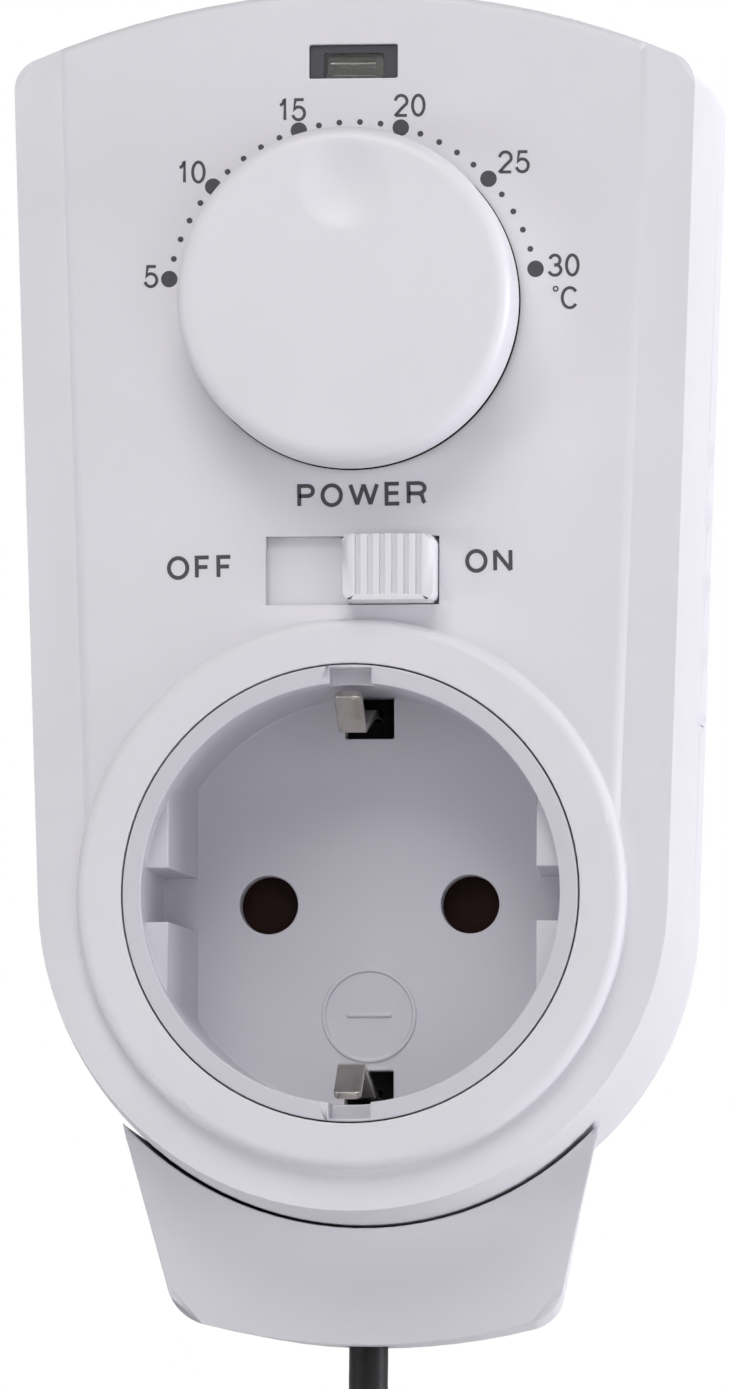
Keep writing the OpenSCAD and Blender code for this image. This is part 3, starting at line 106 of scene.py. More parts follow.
class ControllerSizes(bpy.types.PropertyGroup):
    """Sizes of what Blender adds to the CAD model."""

    edge: length("Edge rounding", "Rounding of the mouldings' edges", 0.16, 0.02, 0.3)
    dial_z: length("Scale height", "Height of the scale's centre", 54.57, 54, 56)
    dial_r: length("Scale radius", "Radius of the ring of dots", 17.43, 16.8, 18.5)
    small_dot: length("Small dots", "Diameter of the dots between numbers", 0.55, 0.3, 0.8)
    large_dot: length("Large dots", "Diameter of the dots at the numbers", 1.55, 1, 2)
    degree: FloatProperty(name="Step", description="Turn of the dial for each degree",
                          subtype="ANGLE", default=radians(6.356), min=radians(5), max=radians(7))
    knob_z: length("Knob height", "Height of the knob's centre", 55.1, 54, 56)
    knob_r: length("Knob radius", "Radius of the knob", 15.6, 14, 16.5)
    knob_h: length("Knob reach", "How far the knob stands out from its gap", 8, 6, 10)
    dimple_depth: length("Dimple", "Depth of the finger dimple", 0.75, 0.3, 1)
    digit_h: length("Digits", "Height of the numbers round the dial", 2.16, 1.5, 2.5)
    lead_d: length("Lead", "Diameter of the lead", 3.7, 3.5, 3.8)
    lead_sides: IntProperty(name="Lead facets", description="Facets round the lead",
                            default=20, min=12, max=32)


# ---------------------------------------------------------------- nodes and materials


def add_node(tree, kind, inputs=None, output=0, **settings):
    """Adds a node, sets its properties and its inputs (values or links), gives an output."""
    node = tree.nodes.new(kind)
    for key, value in settings.items():
        setattr(node, key, value)
    for key, value in (inputs or {}).items():
        if isinstance(value, bpy.types.NodeSocket):
            tree.links.new(value, node.inputs[key])
        else:
            node.inputs[key].default_value = value
    return node.outputs[output] if node.outputs else None


def blank_material(name):
    """A material without nodes, and the place on the object that its patterns read."""
    material = bpy.data.materials.new(name)
    material.use_nodes = True
    tree = material.node_tree
    tree.nodes.clear()
    return material, tree, add_node(tree, "ShaderNodeTexCoord", output="Object")


def patches(tree, place, width, detail=2.0, stretch=(1.0, 1.0, 1.0)):
    """A pattern of soft patches about width wide, in millimetres."""
    scaled = add_node(tree, "ShaderNodeMapping", {"Vector": place, "Scale": stretch})
    return add_node(tree, "ShaderNodeTexNoise", {
        "Vector": scaled, "Scale": 1 / (width * MM), "Detail": detail, "Roughness": 0.55})


# Between these values lies nearly all of a pattern of patches
FAINTEST, STRONGEST = 0.3, 0.7


def finished(material, base, tone, rough, relief, **shader):
    """Finishes a material whose colour varies and whose surface is uneven.

    Tone is the pattern that the colour's brightness follows, and the brightness at its ends.
    Rough is the same for the roughness, or one value. Relief is the pattern of the bumps, and
    their height in millimetres.
    """
    tree = material.node_tree
    brightness, roughness = (add_node(tree, "ShaderNodeMapRange", {
        "Value": part[0], "From Min": FAINTEST, "From Max": STRONGEST, "To Min": part[1],
        "To Max": part[2]}) if isinstance(part, tuple) else part for part in (tone, rough))
    toned = add_node(tree, "ShaderNodeHueSaturation", {"Color": base, "Value": brightness})
    bumps = add_node(tree, "ShaderNodeBump", {
        "Height": relief[0], "Distance": relief[1] * MM, "Strength": 1.0})
    surface = add_node(tree, "ShaderNodeBsdfPrincipled", {
        "Base Color": toned, "Roughness": roughness, "Normal": bumps, **shader})
    add_node(tree, "ShaderNodeOutputMaterial", {"Surface": surface})
    return material


def moulding(name, base, rough, grain, depth, cloud=0.02, level=0.5):
    """A moulded plastic: faint clouds in its colour, and the grain of the mould in its bump."""
    material, tree, place = blank_material(name)
    clouds = patches(tree, place, 18, 3.0)
    fine = patches(tree, place, grain)
    return finished(material, base, (clouds, 1 - cloud, 1 + cloud),
                    (fine, rough - 0.05, rough + 0.05), (fine, depth),
                    **{"IOR": 1.53, "Specular IOR Level": level})


def plating(name, base, rough, streak, depth):
    """A plated or drawn metal: fine streaks along X, and a faint dulling in patches."""
    material, tree, place = blank_material(name)
    streaks = patches(tree, place, streak, 3.0, (0.12, 1.0, 1.0))
    dull = patches(tree, place, 2.5, 3.0)
    return finished(material, base, (dull, 0.88, 1.06), (dull, rough - 0.05, rough + 0.07),
                    (streaks, depth), Metallic=1.0)


def clear(name, base, ior, rough):
    """A clear or tinted glass or plastic, with the slight waviness of moulding or blowing."""
    material, tree, place = blank_material(name)
    waves = patches(tree, place, 2, 1.0)
    return finished(material, base, (waves, 0.97, 1.03), rough, (waves, 0.02),
                    **{"IOR": ior, "Transmission Weight": 1.0})


def laminate(name, base, repeat):
    """Glass-epoxy laminate under solder resist, with the weave of its cloth showing.

    The weave repeats every so many millimetres; a wave texture's phase grows by 20 per unit.
    """
    material, tree, place = blank_material(name)
    across, along = (add_node(tree, "ShaderNodeTexWave", {
        "Vector": place, "Scale": 2 * pi / (20 * repeat * MM)}, "Fac", bands_direction=way)
        for way in "XZ")
    weave = add_node(tree, "ShaderNodeMath", {0: across, 1: along}, operation="MULTIPLY")
    return finished(material, base, (weave, 0.92, 1.08), 0.35, (weave, 0.01), IOR=1.55)


# Each moulded or coated finish: its real material, its colour (a property's name or a code),
# roughness, width and depth of its grain in millimetres, and its clouds and gloss where they
# aren't the usual ones
MOULDINGS = {
    # Spark-eroded mould: an even, very fine matt grain, drawn at 0.28 mm so that it shows
    "housing": ("ABS spark-eroded moulding", "housing", 0.55, 0.28, 0.012),
    # Finer mould finish: smooth to the touch, with a soft sheen
    "handled": ("ABS satin moulding", "knob", 0.42, 0.5, 0.003),
    # Tougher plastic from a semi-gloss mould: cleaner highlights, faint flow marks. Its bluish
    # grey is its own, darkened further as painted shade of the deep recess
    "cup": ("Polycarbonate moulding", "cup", 0.36, 0.6, 0.003, 0.03),
    # Dull brown, deep in the pin holes
    "shutter": ("Polyamide moulding brown", "shutter", 0.55, 0.4, 0.005, 0.02, 0.1),
    # Thick smoked plastic, backed by black: only its gloss shows
    "frame": ("Polycarbonate smoked, thick", "#4b4a4f", 0.22, 0.9, 0.004, 0.06, 0.3),
    # Extruded jacket: nearly black, a soft sheen, slight unevenness from the die
    "jacket": ("PVC jacket extruded", "jacket", 0.5, 0.7, 0.012, 0.05, 0.22),
    # A strap with a faint waxy sheen
    "tie": ("Polyamide moulding black", "#161617", 0.4, 0.4, 0.004, 0.02, 0.3),
    # Dull black with hardly any sheen, for painted shade: the line under the knob's rim and the
    # clips' dark windows
    "shade_black": ("Presspaper black", "#0b0b0c", 0.7, 0.3, 0.01, 0.02, 0.1),
    # Pad printing: flat, slightly uneven ink
    "ink": ("Pad printing ink", "ink", 0.6, 0.12, 0.002, 0.05),
    # Plain inner mouldings: pale grey, black and off-white, with little sheen
    "insulator": ("Polybutylene terephthalate moulding", "#b5b5b3", 0.5, 0.4, 0.006),
    "phenolic": ("Phenolic moulding black", "#1b1b1d", 0.45, 0.3, 0.004),
    "nylon": ("Polyamide moulding natural", "#d9d8d0", 0.45, 0.4, 0.004),
    # Electronic parts, told apart by their usual colours and by how smooth their coats are
    "relay": ("Polybutylene terephthalate moulding blue", "#2553a8", 0.4, 0.4, 0.004),
    "film": ("Epoxy-coated film capacitor", "#c48f2c", 0.35, 1.2, 0.02),
    "sleeve": ("Shrink sleeve", "#1c2747", 0.22, 0.8, 0.004),
    "varistor": ("Epoxy dipped disc", "#1d5561", 0.4, 0.9, 0.02),
    "resistor": ("Lacquered resistor", "#c3a77c", 0.35, 0.6, 0.01),
    # Smooth insulation of the wires
    "brown": ("PVC insulation brown", "#4a2a1a", 0.35, 0.5, 0.003),
    "blue": ("PVC insulation blue", "#1f4a94", 0.35, 0.5, 0.003),
    "black": ("PVC insulation black", "#1c1c1c", 0.35, 0.5, 0.003),
}
# Each metal: its name, colour, roughness, and the width and depth of its streaks
PLATINGS = {
    # Bright nickel over rolled strip: mirror-like, with faint rolling lines and dull patches
    "nickel": ("Nickel-plated brass", "nickel", 0.2, 0.25, 0.004),
    # Greyer and duller than nickel
    "zinc": ("Zinc-plated steel", "#b9bbbd", 0.32, 0.2, 0.004),
    # Clean drawn tube with fine lines
    "stainless": ("Stainless steel drawn tube", "#c3c2c0", 0.26, 0.15, 0.003),
    # Warm yellow strip
    "brass": ("Brass rolled strip", "#c9a256", 0.3, 0.2, 0.004),
}
MATERIALS = {}


def make_materials(look):
    """All finishes of the object, each named for its real material, but for a black that stands
    for painted shade.
    """
    for maker, table in ((moulding, MOULDINGS), (plating, PLATINGS)):
        for key, (name, code, *rest) in table.items():
            base = linear(code) if code.startswith("#") else getattr(look, code)
            MATERIALS[key] = maker(name, base, *rest)
    # Smoked window: dark and glossy, clear enough to show the lamp
    MATERIALS["lens"] = clear("Polycarbonate smoked", look.lens, 1.585, 0.04)
    # Lamp's glass: colourless, with ripples from blowing
    MATERIALS["glass"] = clear("Soda-lime glass blown", linear("#f3f1ea"), 1.52, 0.02)
    # Circuit board: a green with a faint weave, drawn coarser than its cloth so that it shows
    MATERIALS["board"] = laminate("Glass-epoxy laminate", linear("#1d5c38"), 3.77)


# ---------------------------------------------------------------- meshes


def link(name, mesh, material=None):
    """Puts a mesh into the scene as an object at the origin."""
    piece = bpy.data.objects.new(name, mesh)
    bpy.context.scene.collection.objects.link(piece)
    if material is not None:
        mesh.materials.clear()
        mesh.materials.append(material)
    return piece


def made_plain(piece):
    """Turns what an object's modifiers make into its own plain mesh."""
    bpy.context.view_layer.update()
    seen = piece.evaluated_get(bpy.context.evaluated_depsgraph_get())
    mesh = bpy.data.meshes.new_from_object(seen)
    piece.modifiers.clear()
    piece.data = mesh
    mesh.name = piece.name
    return piece


def shaded(piece, angle=32):
    """Shades a mesh smooth, but keeps the edges sharp that turn more than angle degrees."""
    piece.data.shade_smooth()
    piece.data.set_sharp_from_angle(angle=radians(angle))
    return piece


def mesh_of(name, form):
    """Makes a mesh of a form, which it frees."""
    mesh = bpy.data.meshes.new(name)
    form.to_mesh(mesh)
    form.free()
    return mesh


def outward(mesh):
    """Joins a mesh's points and turns the faces of its closed shells outwards."""
    form = bmesh.new()
    form.from_mesh(mesh)
    bmesh.ops.remove_doubles(form, verts=form.verts, dist=JOIN)
    bmesh.ops.recalc_face_normals(form, faces=form.faces)
    form.to_mesh(mesh)
    form.free()


def add_block(form, size, middle=(0, 0, 0), turn=0):
    """Adds a block to a form, its size in millimetres, turned round Y by degrees."""
    block = bmesh.ops.create_cube(form, size=1.0)["verts"]
    bmesh.ops.scale(form, vec=Vector(size) * MM, verts=block)
    bmesh.ops.rotate(form, cent=(0, 0, 0), verts=block,
                     matrix=Quaternion((0, 1, 0), radians(turn)).to_matrix())
    bmesh.ops.translate(form, vec=middle, verts=block)


def place_piece(piece, body, nodes=()):
    """Says which body a piece rides on, and hides the nodes it stands for."""
    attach(piece, body)
    if nodes:
        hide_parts(*nodes)
    return piece


def arc_points(centre, radius, start, end, steps):
    """Points of an arc in a plane, both ends among them; the angles are in degrees."""
    return oval_points(*centre, radius, radius, start, end, steps)


def oval_points(x, y, across, up, start, end, steps):
    """Points of an oval's arc in a plane, both ends among them."""
    angles = [radians(start + (end - start) * i / steps) for i in range(steps + 1)]
    return [(x + across * cos(angle), y + up * sin(angle)) for angle in angles]


def eased_oblong(wide, tall, soft, steps):
    """Points round an oblong with eased corners; wide and tall reach from its middle."""
    wide, tall = wide - soft, tall - soft
    return [point for x, y, start in ((wide, tall, 0), (-wide, tall, 90), (-wide, -tall, 180),
                                      (wide, -tall, 270))
            for point in arc_points((x, y), soft, start, start + 90, steps)]


def ringed(name, rings, material, closed=True):
    """Joins rings of points into a skin, and closes its ends."""
    count = len(rings[0])
    faces = [(i + k, i + (k + 1) % count, i + count + (k + 1) % count, i + count + k)
             for i in range(0, (len(rings) - 1) * count, count) for k in range(count)]
    if closed:
        faces.append(tuple(range(count)))
        faces.append(tuple((len(rings) - 1) * count + k for k in range(count)))
    mesh = bpy.data.meshes.new(name)
    mesh.from_pydata([point for ring in rings for point in ring], [], faces)
    outward(mesh)
    return link(name, mesh, material)


def turned(name, profile, centre, axis, steps, material, angle=32):
    """Turns a profile round an axis through centre.

    The profile is a list of (radius, distance along the axis) in millimetres.
    """
    side = Vector((0, 0, 1)).cross(axis) if abs(axis.z) < 0.9 else Vector((1, 0, 0))
    other = axis.cross(side)
    rings = []
    for radius, along in profile:
        rings.append([centre + along * MM * axis + max(radius * MM, JOIN / 4) * (
            cos(2 * pi * k / steps) * side + sin(2 * pi * k / steps) * other)
            for k in range(steps)])
    return shaded(ringed(name, rings, material, closed=False), angle)


def filleted(points, radius, steps):
    """A line in a plane whose corners are rounded to a radius."""
    line = [Vector(points[0])]
    for before, corner, after in zip(points, points[1:], points[2:]):
        corner = Vector(corner)
        one, two = ((Vector(point) - corner).normalized() for point in (before, after))
        half = one.angle(two) / 2
        middle = corner + (one + two).normalized() * radius / sin(half)
        reach = radius * cos(half) / sin(half)
        start, end = corner + one * reach - middle, corner + two * reach - middle
        turn = start.angle(end)
        for i in range(steps + 1):
            ahead = i / steps * turn
            line.append(middle + (start * sin(turn - ahead) + end * sin(ahead)) / sin(turn))
    line.append(Vector(points[-1]))
    return line


def bent_metal(name, line, x, width, thick, tip=0.0):
    """A strip of nickel-plated metal bent along a line in the Y-Z plane, with eased edges.

    The corners of its two ends are rounded off over the length tip.
    """
    way = [0.0]
    for one, two in zip(line, line[1:]):
        way.append(way[-1] + (two - one).length)
    rings = []
    for i, point in enumerate(line):
        left = min(way[i], way[-1] - way[i])
        drawn_in = tip - sqrt(tip ** 2 - (tip - left) ** 2) if left < tip else 0.0
        ahead = (line[min(i + 1, len(line) - 1)] - line[max(i - 1, 0)]).normalized()
        rings.append([(x + u, point.x - ahead.y * v, point.y + ahead.x * v) for u, v in
                      eased_oblong(width / 2 - 0.8 * drawn_in, thick / 2, STRIP_EASE, 3)])
    return shaded(ringed(name, rings, MATERIALS["nickel"]), 40)


# ---------------------------------------------------------------- rounded copies of solids

SLIVER = 0.05 * MM        # faces narrower than this don't say which way a surface looks
SHORT = 0.008 * MM        # edges shorter than this are dissolved
SHARP = radians(34)       # edges that turn more than this are rounded
RUNS_ON = 0.9             # cosine above which a neighbouring edge carries on along an edge
ROOM_SHARE = 0.45         # share of the width beside an edge that its rounding may take
LEAST_ROOM = 0.01 * MM    # edges with less room beside them stay sharp
STRAY = 0.4               # how far a rounding may leave the solid, as a share of its width
NEARBY = 0.5 * MM         # edges this close to such a fault stay sharp
ROUNDS = 6                # how often the rounding is tried


def room_beside(edge, corner):
    """How wide an edge's rounding may grow at one of its ends before it meets a neighbour."""
    along = (edge.other_vert(corner).co - corner.co).normalized()
    room = 1.0
    for other in corner.link_edges:
        if other is not edge:
            way = other.other_vert(corner).co - corner.co
            if abs(way.dot(along)) < RUNS_ON * way.length:
                room = min(room, ROOM_SHARE * (way - along * way.dot(along)).length)
    return room


def steady_normal(face, tries=2):
    """A face's normal, or its largest neighbour's where the face is a thin sliver."""
    longest = max(edge.calc_length() for edge in face.edges)
    beside = [other for edge in face.edges for other in edge.link_faces if other is not face]
    if tries == 0 or not beside or 2 * face.calc_area() > SLIVER * longest:
        return face.normal
    return steady_normal(max(beside, key=lambda other: other.calc_area()), tries - 1)


def edge_turn(edge):
    """The angle between the two faces at an edge, told apart from slivers beside it."""
    if len(edge.link_faces) != 2:
        return 0.0
    one, two = (steady_normal(face) for face in edge.link_faces)
    return one.angle(two, 0.0)


def rounded_copy(node, name, width, material, shape=None):
    """Copies a CAD node's shape, joins its loose triangles and rounds its sharp edges.

    The rounding narrows where an edge has less room beside it than the full width. Where it
    would still leave the solid's surface, the edges nearby stay sharp. A function may change
    the copy's shape first.
    """
    form = bmesh.new()
    form.from_mesh(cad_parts[node].data)
    bmesh.ops.remove_doubles(form, verts=form.verts, dist=JOIN)
    if shape:
        shape(form)
    bmesh.ops.dissolve_degenerate(form, edges=form.edges, dist=SHORT)
    form.normal_update()
    share = form.edges.layers.float.new("bevel_weight_edge")
    solid = BVHTree.FromBMesh(form)
    wanted = {}
    for edge in form.edges:
        if edge_turn(edge) > SHARP:
            room = min(width, *(room_beside(edge, corner) for corner in edge.verts))
            if room > LEAST_ROOM:
                wanted[edge] = room
    for _ in range(ROUNDS):
        for edge in form.edges:
            edge[share] = wanted.get(edge, 0.0) / width
        piece = bevelled(form, name, width, material)
        strays = [vertex.co for vertex in piece.data.vertices
                  if (solid.find_nearest(vertex.co)[3] or 0) > STRAY * width]
        if not strays:
            break
        corners = KDTree(2 * len(wanted))
        for edge in wanted:
            for corner in edge.verts:
                corners.insert(corner.co, 2 * edge.index + (corner is edge.verts[1]))
        corners.balance()
        sharp = set()
        for stray in strays:
            reach = corners.find(stray)[2] + NEARBY
            sharp.update(index // 2 for _, index, _ in corners.find_range(stray, reach))
        wanted = {edge: room for edge, room in wanted.items() if edge.index not in sharp}
        bpy.data.objects.remove(piece)
    form.free()
    return piece


def bevelled(form, name, width, material):
    """Makes a piece of a form, rounded along its edges by their weights."""
    mesh = bpy.data.meshes.new(name)
    form.to_mesh(mesh)
    piece = link(name, mesh, material)
    edge = piece.modifiers.new("Edges", "BEVEL")
    edge.width = width
    edge.segments = 3
    edge.limit_method = "WEIGHT"
    edge.use_clamp_overlap = False
    piece.modifiers.new("Shading", "WEIGHTED_NORMAL").keep_sharp = True
    shaded(piece, 50)
    return made_plain(piece)


# ---------------------------------------------------------------- geometry trees


def geometry_tree(name, **sockets):
    """An empty geometry tree with the kinds of its own named inputs."""
    tree = bpy.data.node_groups.new(name, "GeometryNodeTree")
    for label, kind in {"Geometry": "Geometry", **sockets}.items():
        tree.interface.new_socket(label, in_out="INPUT", socket_type="NodeSocket" + kind)
    tree.interface.new_socket("Geometry", in_out="OUTPUT", socket_type="NodeSocketGeometry")
    return tree, tree.nodes.new("NodeGroupInput").outputs


def close_tree(tree, geometry, material):
    """Ends a geometry tree with real, coloured geometry."""
    real = add_node(tree, "GeometryNodeRealizeInstances", {"Geometry": geometry})
    named = add_node(tree, "GeometryNodeSetMaterial", {"Geometry": real, "Material": material})
    add_node(tree, "NodeGroupOutput", {"Geometry": named})
    return tree


def grown(name, tree, values, points=((0, 0, 0),)):
    """Runs a geometry tree on a line of points and keeps what it makes as a plain mesh."""
    seed = bpy.data.meshes.new(name)
    seed.from_pydata(points, [(i, i + 1) for i in range(len(points) - 1)], [])
    piece = link(name, seed)
    modifier = piece.modifiers.new("Grow", "NODES")
    modifier.node_group = tree
    for item in tree.interface.items_tree:
        if item.in_out == "INPUT" and item.name in values:
            modifier[item.identifier] = values[item.name]
    made_plain(piece)
    outward(piece.data)
    return piece


def sweep_tree():
    """Runs a round section along a line, for the lead and for the lamp's electrodes."""
    tree, given = geometry_tree("Round sweep", Radius="Float", Sides="Int", Material="Material")
    line = add_node(tree, "GeometryNodeMeshToCurve", {"Mesh": given["Geometry"]})
    ring = add_node(tree, "GeometryNodeCurvePrimitiveCircle", {
        "Resolution": given["Sides"], "Radius": given["Radius"]})
    skin = add_node(tree, "GeometryNodeCurveToMesh", {
        "Curve": line, "Profile Curve": ring, "Fill Caps": True})
    return close_tree(tree, skin, given["Material"])


def dots_tree():
    """Sets a dot for each degree round the dial, and a larger one at every fifth."""
    tree, given = geometry_tree(
        "Scale of dots", Count="Int", Group="Int", Start="Float", Step="Float", Reach="Float",
        Centre="Vector", Small="Float", Large="Float", Thickness="Float", Material="Material")
    index = add_node(tree, "GeometryNodeInputIndex")
    turn = add_node(tree, "ShaderNodeMath", {0: index, 1: given["Step"], 2: given["Start"]},
                    operation="MULTIPLY_ADD")
    across, up = (add_node(tree, "ShaderNodeMath", {0: turn}, operation=part)
                  for part in ("COSINE", "SINE"))
    way = add_node(tree, "ShaderNodeCombineXYZ", {"X": across, "Z": up})
    out = add_node(tree, "ShaderNodeVectorMath", {0: way, "Scale": given["Reach"]},
                   operation="SCALE")
    at = add_node(tree, "ShaderNodeVectorMath", {0: out, 1: given["Centre"]}, operation="ADD")
    points = add_node(tree, "GeometryNodePoints", {"Count": given["Count"], "Position": at})
    past = add_node(tree, "ShaderNodeMath", {0: index, 1: given["Group"]}, operation="MODULO")
    plain = add_node(tree, "ShaderNodeMath", {0: past, 1: 0.5}, operation="GREATER_THAN")
    size = add_node(tree, "GeometryNodeSwitch", {
        "Switch": plain, "False": given["Large"], "True": given["Small"]}, input_type="FLOAT")
    flat = add_node(tree, "ShaderNodeCombineXYZ", {"X": size, "Y": size, "Z": 1.0})
    disc = add_node(tree, "GeometryNodeMeshCylinder", {
        "Vertices": 28, "Radius": 0.5, "Depth": given["Thickness"]}, "Mesh")
    dots = add_node(tree, "GeometryNodeInstanceOnPoints", {
        "Points": points, "Instance": disc, "Rotation": (radians(90), 0, 0), "Scale": flat})
    return close_tree(tree, dots, given["Material"])


def screws_tree():
    """Sets a copy of one screw at each point of a line."""
    tree, given = geometry_tree("Row of screws", Screw="Object", Material="Material")
    screw = add_node(tree, "GeometryNodeObjectInfo", {"Object": given["Screw"]}, "Geometry")
    places = add_node(tree, "GeometryNodeMeshToPoints", {"Mesh": given["Geometry"]})
    screws = add_node(tree, "GeometryNodeInstanceOnPoints", {
        "Points": places, "Instance": screw})
    return close_tree(tree, screws, given["Material"])


# ---------------------------------------------------------------- the lead's route

# The same as in the part's source, in millimetres
LEAD_OUT = [(-0.5, -37.5, -31), (-0.5, -37.5, -41.8), (-0.5, -37.5, -46), (-0.1, -37.4, -51),
            (1.4, -37, -56), (3.9, -36.2, -61), (7, -35.2, -66), (10.1, -34.2, -71),
            (13.2, -33.1, -76), (16.2, -31.9, -81)]
LEAD_TAIL = [(27.2, -44.4, -117), (27, -44.4, -122), (26.6, -44.4, -128), (26.1, -44.4, -136),
             (26, -44.4, -143), (26, -44.4, -150)]
LEAD_GAUGE = 3.7
COIL_Z, COIL_R, COIL_START, COIL_LAYERS = -110.0, 27.2, 23.0, 4
TURN_PITCH, LAYER_PITCH, COIL_BACK_Y = 4.7, 4.6, -30.6
COIL_CHANGE = 0.5        # turns in which the lead climbs from one layer to the next
COIL_TURNS = (10 + COIL_START / 360 - (COIL_LAYERS - 1) * COIL_CHANGE) / COIL_LAYERS
COIL_INNER_R = COIL_R - COIL_TURNS * TURN_PITCH
COIL_STEPS = 48          # points in each turn


def smooth_line(points, steps):
    """A curve through points, with steps pieces between each two."""
    knots = [Vector(p) for p in points]
    knots = [2 * knots[0] - knots[1], *knots, 2 * knots[-1] - knots[-2]]
    line = []
    for a, b, c, d in zip(knots, knots[1:], knots[2:], knots[3:]):
        for i in range(steps):
            t = i / steps
            line.append(0.5 * (2 * b + (c - a) * t + (2 * a - 5 * b + 4 * c - d) * t * t
                               + (3 * b - a - 3 * c + d) * t ** 3))
    line.append(knots[-2])
    return line


def coil_point(turns):
    """The middle of the coiled lead after so many turns, in millimetres."""
    layer = min(COIL_LAYERS - 1, floor(turns / (COIL_TURNS + COIL_CHANGE)))
    in_layer = turns - layer * (COIL_TURNS + COIL_CHANGE)
    wound = min(in_layer, COIL_TURNS) * TURN_PITCH
    radius = COIL_R - wound if layer % 2 == 0 else COIL_INNER_R + wound
    climb = max(0.0, in_layer - COIL_TURNS) / COIL_CHANGE
    angle = radians(COIL_START - 360 * turns)
    return (radius * cos(angle), COIL_BACK_Y - LAYER_PITCH * (layer + climb),
            COIL_Z + radius * sin(angle))


def lead_route():
    """The whole lead's centreline in metres, from the clamp in the foot to the probe."""
    total = COIL_LAYERS * COIL_TURNS + (COIL_LAYERS - 1) * COIL_CHANGE
    steps = round(total * COIL_STEPS)
    coil = [coil_point(total * i / steps) for i in range(steps + 1)]
    way_in = Vector((sin(radians(COIL_START)), 0, -cos(radians(COIL_START))))
    start, end = Vector(coil[0]), Vector(coil[-1])
    before = [start - 3 * LEAD_GAUGE * way_in, start - LEAD_GAUGE * way_in, start]
    first = smooth_line([*LEAD_OUT, *before], 4)
    last = smooth_line([end, end - Vector((0, 0, LEAD_GAUGE)), *LEAD_TAIL], 4)
    return [Vector(p) * MM for p in [*first[:-1], *coil, *last[1:]]]


# ---------------------------------------------------------------- lettering


def bow(x, y, across, up, start, end):
    """Points of an oval arc, for the letters' strokes."""
    return oval_points(x, y, across, up, start, end, max(4, round(abs(end - start) / 12)))


OVAL = bow(0.5, 0.5, 0.5, 0.5, 90, 450)
BOWL = [(0, 1), (0.62, 1), *bow(0.62, 0.745, 0.38, 0.255, 75, -75), (0.62, 0.49), (0, 0.49)]
# Plain upright type: each character's width in millimetres, and its strokes in a unit square
TYPE = {
    "0": (1.36, [OVAL]),
    "1": (0.74, [[(0, 0.73), *bow(0, 1.02, 0.8, 0.28, -80, -10), (1, 1), (1, 0)]]),
    "2": (1.36, [[*bow(0.5, 0.71, 0.5, 0.29, 175, -28), (0.5, 0.33), (0.04, 0.03), (0.1, 0),
                  (1, 0)]]),
    "3": (1.36, [[*bow(0.48, 0.745, 0.44, 0.255, 165, -75), (0.42, 0.5)],
                 [(0.42, 0.51), *bow(0.48, 0.265, 0.52, 0.265, 75, -165)]]),
    "5": (1.36, [[(0.92, 1), (0.2, 1), (0.07, 0.49), *bow(0.48, 0.32, 0.52, 0.32, 125, -165)]]),
    "C": (1.65, [bow(0.52, 0.5, 0.52, 0.5, 38, 322)]),
    "P": (1.66, [[(0, 0), *BOWL]]),
    "O": (2.09, [OVAL]),
    "W": (2.85, [[(0, 1), (0.25, 0)], [(0.25, 0), (0.5, 1)], [(0.5, 1), (0.75, 0)],
                 [(0.75, 0), (1, 1)]]),
    "E": (1.54, [[(1, 1), (0, 1), (0, 0), (1, 0)], [(0, 0.53), (0.93, 0.53)]]),
    "R": (1.87, [[(0, 0), *BOWL], [(0.6, 0.49), (0.82, 0.4), (0.9, 0.12), (1, 0)]]),
    "F": (1.5, [[(1, 1), (0, 1), (0, 0)], [(0, 0.52), (0.88, 0.52)]]),
    "N": (1.8, [[(0, 0), (0, 1)], [(0, 1), (1, 0)], [(1, 0), (1, 1)]]),
}


# ---------------------------------------------------------------- operators


